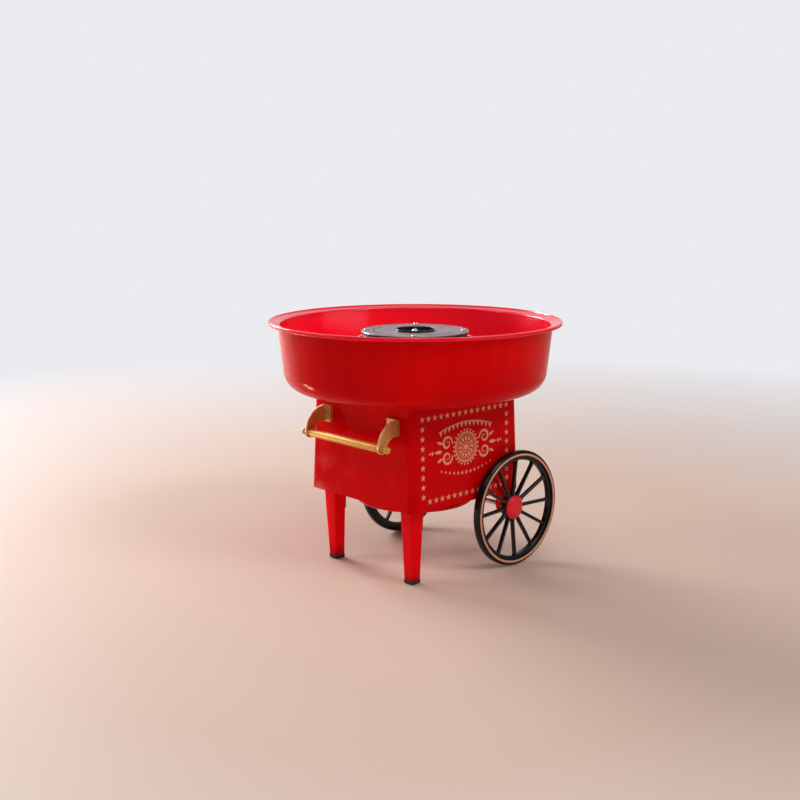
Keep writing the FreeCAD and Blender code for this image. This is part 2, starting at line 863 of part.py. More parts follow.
def heater_tower():
    flange_top = body_top + tower_flange_wall
    inner_r = tower_r - tower_wall
    under = tower_top - tower_wall
    tower = turned([(inner_r, body_top, 0), (tower_flange_r, body_top, 0), (tower_flange_r, flange_top, 0),
                    (tower_r, flange_top, tower_wall * 0.4), (tower_r, tower_top, 0),
                    (motor_boss_r, tower_top, 0), (motor_boss_r, under, 0), (inner_r, under, tower_wall)])
    holes = [small_hole(x, y, body_top - beyond, flange_top + beyond) for x, y in tower_screw_spots()]
    holes += [small_hole(x, y, under - beyond, tower_top + beyond) for x, y in pan_screw_spots()]
    holes += [disc(element_tube_r + insulator_wall + screw_gap, under - beyond, tower_top + beyond, x, y)
              for x, y in element_ends()]
    return tower.cut(holes)


def tower_screws():
    seat = body_top + tower_flange_wall
    length = tower_flange_wall + deck_wall + 2 * small_shank_r
    return [small_screw(point(x, y, seat), up, length) for x, y in tower_screw_spots()]


def pan_screw_spots():
    return [on_circle(element_r / 2, angle) for angle in around(3, 90.0)]


def heater_pan():
    inner_r = pan_r - pan_wall
    pan = turned([(pan_hole_r, tower_top, 0), (pan_r, tower_top, pan_corner_r), (pan_r, pan_top, 0),
                  (inner_r, pan_top, 0), (inner_r, pan_floor, pan_corner_r - pan_wall),
                  (pan_hole_r, pan_floor, 0)])
    holes = [small_hole(x, y, tower_top - beyond, pan_floor + beyond) for x, y in pan_screw_spots()]
    holes += [disc(element_tube_r + insulator_wall + screw_gap, tower_top - beyond, pan_floor + beyond, x, y)
              for x, y in element_ends()]
    return pan.cut(holes)


def pan_screws():
    length = pan_wall + tower_wall + small_shank_r
    return [small_screw(point(x, y, pan_floor), up, length) for x, y in pan_screw_spots()]


def heater_screws():
    return Part.makeCompound(tower_screws() + pan_screws())


def pan_ring():
    return turned([(pan_ring_inner_r, pan_top, 0), (pan_ring_outer_r, pan_top, 0),
                   (pan_ring_outer_r, pan_top + pan_ring_height, pan_ring_height / 3),
                   (pan_ring_inner_r, pan_top + pan_ring_height, pan_ring_height / 3)])


def element_ends():
    half_gap = element_gap_angle / 2
    return [on_circle(element_r, 180 + side * half_gap) for side in (1, -1)]


def element_torus(tube_r):
    return Part.makeTorus(element_r, tube_r, point(0, 0, element_z), up)


def heater_element():
    """A sheathed ring with both ends turned down through the pan."""
    loop = Part.makeTorus(element_r, element_tube_r, point(0, 0, element_z), up, 0, 360,
                          360 - element_gap_angle)
    loop.rotate(centre, up, 180 + element_gap_angle / 2)
    legs = []
    for x, y in element_ends():
        legs.append(disc(element_tube_r, tower_top - element_leg_length, element_z, x, y))
        legs.append(Part.makeSphere(element_tube_r, point(x, y, element_z)))
    return joined([loop] + legs)


def end_sleeves():
    outer = element_tube_r + insulator_wall
    low = tower_top - 2 * tower_wall
    high = pan_floor + pan_wall
    return [ring(outer, element_tube_r + screw_gap, low, high, x, y) for x, y in element_ends()]


def element_insulators():
    """Sleeves round the cold ends, and posts that carry the ring."""
    posts = []
    for angle in around(3):
        x, y = on_circle(element_r, angle)
        posts.append(disc(post_r, pan_floor, element_z, x, y).cut(element_torus(element_tube_r + screw_gap)))
    return Part.makeCompound(end_sleeves() + posts)


def fuse_place():
    x = -element_r / 2 - fuse_r()
    z = tower_top - tower_wall - fuse_strap_wall - screw_gap - fuse_r()
    return x, z


def fuse_r():
    return wire_r * 2


def thermal_fuse():
    x, z = fuse_place()
    return rod_y(fuse_r(), -fuse_r() * 3, fuse_r() * 3, x, z)


def fuse_clip():
    x, z = fuse_place()
    reach = fuse_r() + screw_gap + fuse_strap_wall
    strap = block((x - reach, x + reach), (-fuse_r(), fuse_r()), (z - reach, tower_top - tower_wall))
    return strap.cut(rod_y(fuse_r() + screw_gap, -fuse_r() - beyond, fuse_r() + beyond, x, z))


# ---------------------------------------------------------------- spinning head

def head_screw_spots():
    return [on_circle(head_screw_circle_r, angle) for angle in around(head_screw_count, 45.0)]


def head_cup():
    floor_top = head_bottom + head_cup_wall
    flange_under = cup_top - head_cup_wall
    bore = head_hub_r + screw_gap
    cup = turned([(bore, head_bottom, 0), (head_cup_floor_r, head_bottom, pan_corner_r),
                  (head_cup_mouth_r, flange_under, head_cup_wall),
                  (head_disc_r - head_cup_wall, flange_under, 0),
                  (head_disc_r - head_cup_wall, cup_top, head_cup_wall / 2),
                  (head_cup_mouth_r - head_cup_wall, cup_top, head_cup_wall),
                  (head_cup_floor_r - head_cup_wall, floor_top, pan_corner_r - head_cup_wall),
                  (bore, floor_top, 0)])
    return cup.cut([small_hole(x, y, flange_under - beyond, cup_top + beyond) for x, y in head_screw_spots()])


def head_disc():
    plate = turned([(head_disc_hole_r, disc_bottom, 0), (head_disc_r, disc_bottom, head_disc_wall / 4),
                    (head_disc_r, disc_top, head_disc_wall / 3),
                    (head_disc_hole_r, disc_top, head_disc_wall / 6)])
    holes = [small_hole(x, y, disc_bottom - beyond, disc_top + beyond) for x, y in head_screw_spots()]
    return plate.cut(holes)


def head_spacers():
    return Part.makeCompound([ring(head_nut_r, small_shank_r + screw_gap, cup_top, disc_bottom, x, y)
                              for x, y in head_screw_spots()])


def head_screws():
    length = head_disc_wall + head_slot + head_cup_wall + head_nut_height
    return [small_screw(point(x, y, disc_top), up, length) for x, y in head_screw_spots()]


def head_nuts():
    top = cup_top - head_cup_wall
    nuts = []
    for x, y in head_screw_spots():
        spots = [point(x + dx, y + dy, top - head_nut_height) for dx, dy in
                 [on_circle(head_nut_r, angle) for angle in around(6)]]
        nut = Part.Face(rounded_wire(spots, [0] * 6)).extrude(point(0, 0, head_nut_height))
        nuts.append(nut.cut(small_hole(x, y, top - head_nut_height - beyond, top + beyond)))
    return nuts


def sugar_funnel():
    outer_r = head_disc_hole_r - screw_gap
    throat_z = disc_bottom - funnel_depth
    rim_z = disc_top - head_disc_wall / 3
    return turned([(outer_r, rim_z, 0), (outer_r, disc_bottom, 0), (outer_r + funnel_lip, disc_bottom, 0),
                   (outer_r + funnel_lip, cup_top, 0), (outer_r - funnel_wall / 2, cup_top, 0),
                   (funnel_throat_r, throat_z, 0),
                   (funnel_throat_r - funnel_wall, throat_z, 0),
                   (outer_r - funnel_wall, disc_bottom, funnel_wall),
                   (outer_r - funnel_wall, rim_z, 0)])


def head_hub():
    bore = shaft_r + running_gap
    hub = turned([(bore, head_hub_bottom, 0), (head_hub_r, head_hub_bottom, 0),
                  (head_hub_r, hub_flange_bottom, 0), (head_hub_flange_r, hub_flange_bottom, 0),
                  (head_hub_flange_r, head_bottom, 0), (head_hub_r, head_bottom, 0),
                  (head_hub_r, head_bottom + head_hub_rise, head_cup_wall / 2),
                  (bore, head_bottom + head_hub_rise, 0)])
    reach = head_hub_r + beyond
    half = drive_pin_r + moving_gap
    return hub.cut(block((-reach, reach), (-half, half), (head_hub_bottom - beyond, drive_slot_top)))


# ---------------------------------------------------------------- shaft, drive and motor

def motor_shaft():
    dome_z = shaft_tip_z - shaft_r
    pin_hole = rod_x(drive_pin_r + screw_gap / 2, -shaft_r - beyond, shaft_r + beyond, 0, drive_pin_z)
    upper = joined([disc(shaft_r, shaft_step_z, dome_z), Part.makeSphere(shaft_r, point(0, 0, dome_z))])
    lower = disc(motor_shaft_r, can_bottom - motor_boss_height, shaft_step_z)
    return joined([upper, lower]).cut(pin_hole)


def drive_pin():
    return rod_x(drive_pin_r, -drive_pin_half_length, drive_pin_half_length, 0, drive_pin_z)


def drive_collar():
    return ring(drive_collar_r, shaft_r + screw_gap / 2, tower_top + moving_gap, drive_collar_top)


def upper_bearing():
    """Flanged bush in the tower's top plate."""
    under = tower_top - tower_wall
    bore = shaft_r + running_gap
    outer = motor_boss_r - screw_gap
    return turned([(bore, under - tower_wall, 0), (outer + tower_wall, under - tower_wall, 0),
                   (outer + tower_wall, under, 0), (outer, under, 0), (outer, tower_top, 0),
                   (bore, tower_top, 0)])


def motor_can():
    inner = motor_r - motor_can_wall
    floor = can_bottom + motor_can_wall
    hole = motor_bush_r + screw_gap
    low = can_bottom - motor_boss_height
    return turned([(hole, low, 0), (motor_boss_r, low, 0), (motor_boss_r, can_bottom, 0),
                   (motor_r, can_bottom, motor_can_wall * 2), (motor_r, can_top, 0), (inner, can_top, 0),
                   (inner, floor, motor_can_wall), (hole, floor, 0)])


def motor_screw_spots():
    return [(0, side * (motor_boss_r + motor_r) / 2) for side in (-1, 1)]


def motor_end_cap():
    hole = motor_bush_r + screw_gap
    top = plate_top + motor_boss_height
    cap = turned([(hole, can_top, 0), (motor_r, can_top, 0), (motor_r, plate_bottom, 0),
                  (motor_boss_r, plate_bottom, 0), (motor_boss_r, top, 0), (hole, top, 0)])
    holes = [small_hole(x, y, can_top - beyond, plate_bottom + beyond) for x, y in motor_screw_spots()]
    holes += [disc(wire_r + screw_gap, can_top - beyond, plate_bottom + beyond, x, 0) for x in brush_wire_x()]
    return cap.cut(holes)


def brush_wire_x():
    reach = commutator_r + moving_gap + brush_length - brush_width / 2
    return (-reach, reach)


def motor_bush(low, high):
    return ring(motor_bush_r, motor_shaft_r + running_gap, low, high)


def motor_bushes():
    upper = motor_bush(can_top, plate_top + motor_boss_height)
    lower = motor_bush(can_bottom - motor_boss_height, can_bottom + motor_can_wall + beyond)
    return Part.makeCompound([upper, lower])


def motor_magnets():
    arcs = ring(magnet_r, magnet_r - magnet_wall, rotor_bottom, rotor_top)
    split = block((-magnet_split / 2, magnet_split / 2), (-motor_r, motor_r),
                  (rotor_bottom - beyond, rotor_top + beyond))
    return arcs.cut(split)


def rotor_core():
    core = ring(rotor_r, motor_shaft_r + screw_gap / 2, rotor_bottom, rotor_top)
    slots = []
    for angle in around(rotor_slot_count, 90.0):
        slot = block((rotor_r - rotor_slot_depth, rotor_r + beyond),
                     (-rotor_slot_width / 2, rotor_slot_width / 2),
                     (rotor_bottom - beyond, rotor_top + beyond))
        slot.rotate(centre, up, angle)
        slots.append(slot)
    return core.cut(slots)


def rotor_windings():
    outer = rotor_r - rotor_slot_depth / 2
    inner = commutator_r
    turns = []
    for low in (rotor_top, rotor_bottom - winding_height):
        turns.append(turned([(inner, low, winding_height / 3), (outer, low, winding_height / 3),
                             (outer, low + winding_height, winding_height / 3),
                             (inner, low + winding_height, winding_height / 3)]))
    return Part.makeCompound(turns)


def commutator():
    body = ring(commutator_r, motor_shaft_r + screw_gap / 2, commutator_bottom, commutator_top)
    cuts = []
    for angle in around(rotor_slot_count):
        cut = block((commutator_r - commutator_cut_depth, commutator_r + beyond),
                    (-commutator_cut_width / 2, commutator_cut_width / 2),
                    (commutator_bottom - beyond, commutator_top + beyond))
        cut.rotate(centre, up, angle)
        cuts.append(cut)
    return body.cut(cuts)


def brush_range():
    start = commutator_r + moving_gap
    return start, start + brush_length


def carbon_brushes():
    near, far = brush_range()
    low = commutator_bottom + brush_rise
    brush = block((near, far), (-brush_width / 2, brush_width / 2), (low, low + brush_width))
    return Part.makeCompound([brush, brush.mirror(centre, to_wheels)])


def brush_holders():
    near, far = brush_range()
    low = commutator_bottom + brush_rise
    holder = block((near + brush_length / 3, far + brush_holder_wall),
                   (-brush_width / 2 - brush_holder_wall, brush_width / 2 + brush_holder_wall),
                   (low - brush_holder_wall, can_top))
    channel = block((near - beyond, far), (-brush_width / 2, brush_width / 2), (low, low + brush_width))
    holder = holder.cut(channel)
    return Part.makeCompound([holder, holder.mirror(centre, to_wheels)])


def motor_mount_plate():
    span = (-plate_half, plate_half)
    plate = flat_plate(span, span, grommet_r, plate_bottom, plate_top)
    low = plate_bottom - beyond
    high = plate_top + beyond
    holes = [disc(motor_boss_r + cover_gap, low, high)]
    holes += [disc(grommet_waist_r, low, high, x, y) for x, y in grommet_spots()]
    holes += [small_hole(x, y, low, high) for x, y in motor_screw_spots()]
    for x, y in heater_pass_spots() + motor_pass_spots():
        holes.append(disc(2 * wire_r, low, high, x, y))
    for x in brush_wire_x():
        holes.append(disc(2 * wire_r, low, high, x, 0))
    return plate.cut(holes)


def motor_grommets():
    grommets = []
    for x, y in grommet_spots():
        lower = disc(grommet_r, plate_bottom - grommet_lip, plate_bottom, x, y)
        waist = disc(grommet_waist_r, plate_bottom, plate_top, x, y)
        upper = disc(grommet_r, plate_top, boss_bottom, x, y)
        hole = large_hole(x, y, plate_bottom - grommet_lip - beyond, boss_bottom + beyond)
        grommets.append(joined([lower, waist, upper]).cut(hole))
    return Part.makeCompound(grommets)


def hanger_screws():
    seat = plate_bottom - grommet_lip
    length = 2 * grommet_lip + plate_wall + boss_length - 2 * large_shank_r
    return [large_screw(point(x, y, seat), down, length) for x, y in grommet_spots()]


def face_screws():
    length = plate_wall + motor_end_cap_wall - small_shank_r / 2
    return [small_screw(point(x, y, plate_top), up, length) for x, y in motor_screw_spots()]


def motor_screws():
    return Part.makeCompound(hanger_screws() + face_screws())


# ---------------------------------------------------------------- switch and cord inlet

def switch_face():
    return body_half_at(switch_z)


def rocker_pivot_x():
    return switch_face() - rocker_dip


def rocker_half_height():
    return switch_half_height - switch_cavity_wall - moving_gap


def switch_housing():
    face = switch_face()
    front = face + switch_bezel_wall
    inside_half_y = switch_half_width - switch_cavity_wall
    inside_half_z = switch_half_height - switch_cavity_wall
    box = block((face - switch_depth, front), (-switch_half_width, switch_half_width),
                (switch_z - switch_half_height, switch_z + switch_half_height))
    half_y = switch_half_width + switch_bezel
    half_z = switch_half_height + switch_bezel
    corners = rectangle_corners((-half_y, half_y), (switch_z - half_z, switch_z + half_z), switch_bezel)
    bezel = Part.Face(wire_of(corners, lambda y, z: point(face - beyond, y, z))).extrude(
        point(front - face + beyond, 0, 0))
    bezel = bezel.cut(body_envelope())
    cavity = block((face - switch_cavity_depth, front + beyond), (-inside_half_y, inside_half_y),
                   (switch_z - inside_half_z, switch_z + inside_half_z))
    pin_hole = rod_y(rocker_pin_r + running_gap, -switch_half_width + switch_cavity_wall / 3,
                     switch_half_width - switch_cavity_wall / 3, rocker_pivot_x(), switch_z)
    return joined([box, bezel]).cut([cavity, pin_hole])


def switch_rocker():
    """A rocker with a dished front, shown tipped to its off position."""
    pivot_x = rocker_pivot_x()
    half_y = switch_half_width - switch_cavity_wall - moving_gap
    drum = rod_y(rocker_half_height(), -half_y, half_y, pivot_x, switch_z)
    reach = rocker_half_height() + beyond
    middle_x = pivot_x + rocker_stand_out
    end_x = middle_x + rocker_dip
    back_x = pivot_x - rocker_stand_out
    spots = [(back_x, -reach), (end_x, -reach), (middle_x, 0), (end_x, reach), (back_x, reach)]
    keep = Part.Face(rounded_wire([point(x, -half_y - beyond, switch_z + z) for x, z in spots], [0] * 5))
    body = drum.common(keep.extrude(point(0, 2 * (half_y + beyond), 0)))
    pin_half = switch_half_width - switch_cavity_wall / 2
    body = joined([body, rod_y(rocker_pin_r, -pin_half, pin_half, pivot_x, switch_z)])
    body.rotate(point(pivot_x, 0, switch_z), to_left, rocker_tilt)
    return body


def switch_blades():
    back = switch_face() - switch_depth
    blades = [block((back - blade_length, back), (-blade_width / 2, blade_width / 2),
                    (switch_z + rise - blade_wall / 2, switch_z + rise + blade_wall / 2))
              for rise in (-blade_spread, blade_spread)]
    return Part.makeCompound(blades)


def cord_inlet():
    """Rubber grommet that a supply lead passes through."""
    outside = body_half_at(inlet_z)
    waist_r = inlet_hole_r - screw_gap
    draft_reach = body_draft * inlet_lip_r
    front = outside + inlet_lip_wall
    inner_face = outside - body_wall - draft_reach - screw_gap
    collar = rod_x(inlet_lip_r, outside - body_wall / 2, front, 0, inlet_z).cut(body_envelope())
    waist = rod_x(waist_r, inner_face - inlet_lip_wall, front, 0, inlet_z)
    inner_lip = rod_x(inlet_lip_r, inner_face - inlet_lip_wall, inner_face, 0, inlet_z)
    bore = rod_x(inlet_bore_r, inner_face - inlet_lip_wall - beyond, front + beyond, 0, inlet_z)
    return joined([collar, waist, inner_lip]).cut(bore)


# ---------------------------------------------------------------- power board and wires

def power_board():
    board = flat_plate((-board_half_x, board_half_x), (-board_half_y, board_half_y), wire_r,
                       board_z, board_top)
    return board.cut([small_hole(x, y, board_z - beyond, board_top + beyond) for x, y in board_post_spots()])


def board_screws():
    length = board_wall + board_post_height - beyond
    return [small_screw(point(x, y, board_top), up, length) for x, y in board_post_spots()]


def bridge_rectifier():
    half = rectifier_width / 2
    y = -board_half_y / 3
    return block((-half, half), (y - rectifier_thickness / 2, y + rectifier_thickness / 2),
                 (board_top, board_top + rectifier_height))


def filter_capacitor():
    half = capacitor_width / 2
    y = board_half_y / 3
    corners = rectangle_corners((-half, half), (y - capacitor_thickness / 2, y + capacitor_thickness / 2),
                                capacitor_thickness / 4)
    face = Part.Face(wire_of(corners, lambda x, across: point(x, across, board_top)))
    return face.extrude(point(0, 0, capacitor_height))


def terminal_x(end):
    return end * (board_half_x - board_post_inset - terminal_depth / 2)


def terminal_wells(end):
    """Screw wells of one terminal block, where the wires end."""
    return [(terminal_x(end), offset * terminal_width / 4) for offset in (-1, 1)]


def terminal_blocks():
    blocks = []
    for end in (-1, 1):
        x = terminal_x(end)
        high = board_top + terminal_height
        body = block((x - terminal_depth / 2, x + terminal_depth / 2),
                     (-terminal_width / 2, terminal_width / 2), (board_top, high))
        wells = [disc(2 * wire_r, high - terminal_height / 2, high + beyond, well_x, well_y)
                 for well_x, well_y in terminal_wells(end)]
        blocks.append(body.cut(wells))
    return Part.makeCompound(blocks)


def wire_run(spots):
    """A round wire along straight runs joined by arcs as large as the runs allow."""
    edges = []
    last = spots[0]
    for index in range(1, len(spots) - 1):
        spot = spots[index]
        back = spots[index - 1] - spot
        ahead = spots[index + 1] - spot
        half_angle = back.getAngle(ahead) / 2
        reach = wire_bend * min(back.Length, ahead.Length)
        radius = reach * math.tan(half_angle)
        inward = unit(unit(back) + unit(ahead))
        start = spot + unit(back) * reach
        end = spot + unit(ahead) * reach
        middle = spot + inward * (radius / math.sin(half_angle) - radius)
        edges.append(Part.makeLine(last, start))
        edges.append(Part.Arc(start, middle, end).toShape())
        last = end
    edges.append(Part.makeLine(last, spots[-1]))
    path = Part.Wire(edges)
    direction = spots[1] - spots[0]
    section = Part.Wire(Part.makeCircle(wire_r, spots[0], direction))
    return path.makePipeShell([section], True, True)


def below_motor(low, share):
    return low + share * (can_bottom - low)


def heater_pass_spots():
    """Holes in the mount plate for the heater leads, on the handle side of the motor."""
    x = -(motor_r + plate_half) / 2
    return [(x, -terminal_width / 4), (x, terminal_width / 4)]


def motor_pass_spots():
    """Holes in the mount plate for the motor leads, on the right side of the motor."""
    y = -(motor_r + plate_half) / 2
    return [(-terminal_width / 3, y), (terminal_width / 3, y)]


def switch_wires():
    """From the wheel end terminal block to the blades of the switch."""
    low = board_top + terminal_height / 2
    blade_x = switch_face() - switch_depth - blade_length
    wires = []
    for (x, y), side in zip(terminal_wells(1), (-1, 1)):
        z = switch_z + side * blade_spread
        turn_x = blade_x - terminal_depth
        wires.append(wire_run([point(x, y, low), point(x, y, below_motor(low, wire_rise)),
                               point(2 * x, y, below_motor(low, wire_turn)),
                               point(turn_x - (side + 2) * wire_r, y, z - terminal_depth * 2),
                               point(turn_x, y / 4, z), point(blade_x, y / 4, z)]))
    return wires


def heater_wires():
    """From the handle end terminal block up beside the motor to the heater's cold ends."""
    low = board_top + terminal_height / 2
    target = tower_top - element_leg_length
    gallery = (plate_top + deck_under) / 2
    wires = []
    routes = zip(terminal_wells(-1), heater_pass_spots(), element_ends())
    for (x, y), (pass_x, pass_y), (end_x, end_y) in routes:
        wires.append(wire_run([point(x, y, low), point(x, y, below_motor(low, wire_rise)),
                               point(pass_x, pass_y, below_motor(low, wire_turn)),
                               point(pass_x, pass_y, gallery),
                               point(x, y, gallery + wire_r), point(x, y, target - 1.4 * terminal_depth),
                               point(end_x, end_y, target - terminal_depth), point(end_x, end_y, target)]))
    return wires


def motor_wires():
    """From the rectifier up beside the motor, over its mount plate and down to the brushes."""
    low = board_top + rectifier_height
    gallery = (plate_top + deck_under) / 2
    start_y = -board_half_y / 3
    wires = []
    for side, (pass_x, pass_y), brush_x in zip((-1, 1), motor_pass_spots(), brush_wire_x()):
        start_x = side * rectifier_width / 4
        first_bend = below_motor(low, wire_rise)
        wires.append(wire_run([point(start_x, start_y, low), point(start_x, start_y, first_bend),
                               point(pass_x, pass_y, below_motor(low, wire_turn)),
                               point(pass_x, pass_y, gallery),
                               point(brush_x, pass_y / 2, gallery + wire_r),
                               point(brush_x, 0, gallery + wire_r), point(brush_x, 0, can_top)]))
    return wires


# ---------------------------------------------------------------- the whole machine

def cover_screws():
    length = cover_wall + pillar_height - 2 * small_shank_r
    return [small_screw(point(x, y, body_bottom), down, length) for x, y in pillar_spots()]


def case_screws():
    """The screws that hold the bottom cover, the legs, the axle brackets and the power board."""
    return Part.makeCompound(cover_screws() + leg_screws() + bracket_screws() + board_screws())


def pair(left_piece):
    """The left piece and its mirror image, as one node."""
    return Part.makeCompound([left_piece, mirrored(left_piece)])


def both_sides(name, left_piece):
    """The left piece and its mirror image, as two nodes."""
    return {"left_" + name: left_piece, "right_" + name: mirrored(left_piece)}


def cart_pieces():
    pieces = {"body_shell": body_shell(), "bottom_cover": bottom_cover(), "case_screws": case_screws(),
              "foot_caps": pair(foot_cap()), "axle_brackets": pair(axle_bracket()),
              "wheel_axle": wheel_axle(), "axle_retainers": pair(axle_retainer()),
              "handle_bar": handle_bar(), "handle_knobs": pair(handle_knob()),
              "handle_screws": handle_screws()}
    pieces.update(both_sides("front_leg", front_leg()))
    pieces.update(both_sides("handle_bracket", handle_bracket()))
    return pieces


def wheel_pieces():
    pieces = both_sides("wheel", wheel())
    pieces.update(both_sides("wheel_stripe", wheel_stripe()))
    pieces.update(both_sides("hub_cap", hub_cap()))
    return pieces


def heater_pieces():
    return {"heater_tower": heater_tower(), "heater_screws": heater_screws(), "heater_pan": heater_pan(),
            "pan_ring": pan_ring(), "heater_element": heater_element(),
            "element_insulators": element_insulators(),
            "thermal_fuse": Part.makeCompound([thermal_fuse(), fuse_clip()]),
            "upper_bearing": upper_bearing()}


def head_pieces():
    return {"head_cup": head_cup(), "head_disc": head_disc(), "head_spacers": head_spacers(),
            "head_screws": Part.makeCompound(head_screws() + head_nuts()),
            "sugar_funnel": sugar_funnel(), "head_hub": head_hub()}


def motor_pieces():
    return {"motor_mount_plate": motor_mount_plate(), "motor_grommets": motor_grommets(),
            "motor_screws": motor_screws(), "motor_can": motor_can(), "motor_end_cap": motor_end_cap(),
            "motor_magnets": motor_magnets(), "motor_bushes": motor_bushes(),
            "brush_holders": brush_holders(), "carbon_brushes": carbon_brushes(),
            "motor_shaft": motor_shaft(), "drive_pin": drive_pin(), "drive_collar": drive_collar(),
            "rotor_core": rotor_core(), "rotor_windings": rotor_windings(), "commutator": commutator()}


def electric_pieces():
    return {"switch_housing": switch_housing(), "switch_rocker": switch_rocker(),
            "switch_blades": switch_blades(), "cord_inlet": cord_inlet(), "power_board": power_board(),
            "bridge_rectifier": bridge_rectifier(),
            "filter_capacitor": filter_capacitor(), "terminal_blocks": terminal_blocks(),
            "wiring": Part.makeCompound(switch_wires() + heater_wires() + motor_wires())}


def main():
    os.makedirs("parts", exist_ok=True)
    pieces = {"bowl": bowl()}
    for group in (cart_pieces(), wheel_pieces(), heater_pieces(), head_pieces(), motor_pieces(),
                  electric_pieces()):
        pieces.update(group)
    for name, shape in pieces.items():
        shape.exportStep(os.path.join("parts", name + ".step"))


if __name__ == "__main__":
    main()
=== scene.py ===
import math

import bmesh
import bpy
from bpy.props import FloatProperty, FloatVectorProperty, IntProperty, PointerProperty
from mathutils import Matrix, Vector


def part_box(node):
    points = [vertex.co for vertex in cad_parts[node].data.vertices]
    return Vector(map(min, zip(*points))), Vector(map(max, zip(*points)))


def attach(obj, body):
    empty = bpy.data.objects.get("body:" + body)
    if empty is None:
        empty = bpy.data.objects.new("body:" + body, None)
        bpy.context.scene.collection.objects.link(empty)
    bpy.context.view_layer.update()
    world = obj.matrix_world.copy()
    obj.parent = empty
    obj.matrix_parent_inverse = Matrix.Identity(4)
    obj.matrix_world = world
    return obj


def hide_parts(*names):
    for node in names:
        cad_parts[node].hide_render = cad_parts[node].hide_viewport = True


bl_info = {
    "name": "Carnival cart cotton candy machine",
    "version": (1, 0, 0),
    "blender": (4, 5, 0),
    "location": "3D View > Sidebar > Candy Cart",
    "description": "Builds the visible surfaces of a tabletop cotton candy machine",
    "category": "Add Mesh",
}

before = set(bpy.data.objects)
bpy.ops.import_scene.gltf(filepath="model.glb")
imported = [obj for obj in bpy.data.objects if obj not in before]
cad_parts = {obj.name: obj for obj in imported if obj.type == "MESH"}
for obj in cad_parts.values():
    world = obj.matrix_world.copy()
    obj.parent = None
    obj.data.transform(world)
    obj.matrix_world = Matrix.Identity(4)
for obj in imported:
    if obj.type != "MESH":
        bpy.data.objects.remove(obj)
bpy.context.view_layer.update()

# ---------------------------------------------------------------- places that the frame gives

bowl_low, bowl_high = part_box("bowl")
body_low, body_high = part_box("body_shell")
wheel_low, wheel_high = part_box("left_wheel")
cap_low, cap_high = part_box("left_hub_cap")
stripe_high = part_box("left_wheel_stripe")[1]
disc_low, disc_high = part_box("head_disc")
bar_low, bar_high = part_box("handle_bar")
fan_low, fan_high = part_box("left_handle_bracket")
screw_low, screw_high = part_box("handle_screws")

axle = (wheel_low + wheel_high) / 2
bar = (bar_low + bar_high) / 2
screw_z = (screw_low.z + screw_high.z) / 2

sides = {"left": 1, "right": -1}
up = Vector((0, 0, 1))
origin = Vector((0, 0, 0))
hub_middle = Vector((axle.x, 0, axle.z))

wall_draft = 0.03               # how far the side walls draw in, as a share of their height
crease = math.radians(35)       # edges sharper than this are shown sharp
fine, soft, wide = 0.0002, 0.0003, 0.0006      # rounds and steps of small edges
tiny = 1e-7                     # spots closer together than this are one spot


# ---------------------------------------------------------------- sizes and colours to change

def length(label, default, description):
    return FloatProperty(name=label, description=description, default=default, min=0.0,
                         unit="LENGTH", precision=5)


def angle(label, default, description):
    return FloatProperty(name=label, description=description, default=math.radians(default),
                         subtype="ANGLE", unit="ROTATION")


def colour(label, default, description):
    return FloatVectorProperty(name=label, description=description, default=default, size=3,
                               min=0.0, max=1.0, subtype="COLOR")


def count(label, default, description):
    return IntProperty(name=label, description=description, default=default, min=1)


def level(label, default, description):
    return FloatProperty(name=label, description=description, default=default, min=0.0)


class CartBowl(bpy.types.PropertyGroup):
    rim_radius: length("Rim radius", bowl_high.x, "Outside of the flared rim")
    rim_width: length("Rim width", 0.0097, "Flared rim outside the wall")
    rim_rise: length("Rim rise", 0.0032, "How far the rim climbs to its outer edge")
    lip_depth: length("Lip depth", 0.0036, "Height of the rim's outer edge")
    lip_wall: length("Lip wall", 0.0018, "Thickness of the rim's outer edge")
    wall: length("Wall", 0.0022, "Thickness of the bowl")
    lean: length("Lean", 0.0073, "How much the wall draws in from rim to floor")
    corner_radius: length("Corner radius", 0.021, "Outside round between wall and floor")
    hole_radius: length("Hole radius", 0.0643, "Hole in the middle")
    collar_height: length("Collar height", 0.0384, "Collar round the hole")
    collar_flare: length("Collar flare", 0.004, "How much the collar widens at its foot")
    bead: length("Rim bead", 0.0004, "Groove beside the rim's outer edge")


class CartWheels(bpy.types.PropertyGroup):
    radius: length("Radius", wheel_high.z - axle.z, "Outside of the tyre")
    thickness: length("Thickness", 0.008, "Width of the tyre")
    rim_width: length("Rim width", 0.0103, "Tyre and rim together, along the radius")
    tyre_round: length("Tyre round", 0.0026, "Round on the tyre's edges")
    step: length("Step", 0.0016, "How far the inner band lies behind the tyre's face")
    band_width: length("Band width", 0.0034, "Inner band of the rim")
    ring_radius: length("Ring radius", stripe_high.z - axle.z, "Outside of the metallic ring")
    ring_width: length("Ring width", 0.0021, "Width of the metallic ring")
    spokes: count("Spokes", 12, "Number of spokes")
    spoke_width: length("Spoke width", 0.0035, "Spoke across, at its middle")
    spoke_depth: length("Spoke depth", 0.0042, "Spoke along the axle")
    spoke_round: length("Spoke round", 0.0010, "Round on the spoke's edges")
    spoke_step: length("Spoke step", 0.0003, "How far the spokes start behind the hub's face")
    dish: length("Dish", 0.0062, "How far the hub's face lies inside the rim's face")
    hub_radius: length("Hub radius", 0.0146, "Outside of the hub")
    hub_lip: length("Hub lip", 0.0012, "Stepped edge of the hub's face")
    neck_radius: length("Neck radius", 0.0116, "Hub towards the cart")
    recess_radius: length("Recess radius", 0.0106, "Recess below the hub cap")
    recess_depth: length("Recess depth", 0.0026, "Depth of that recess")
    bore_radius: length("Bore radius", 0.00255, "Hole for the axle")
    cap_edge: length("Cap edge", 0.0012, "Thickness of the hub cap")


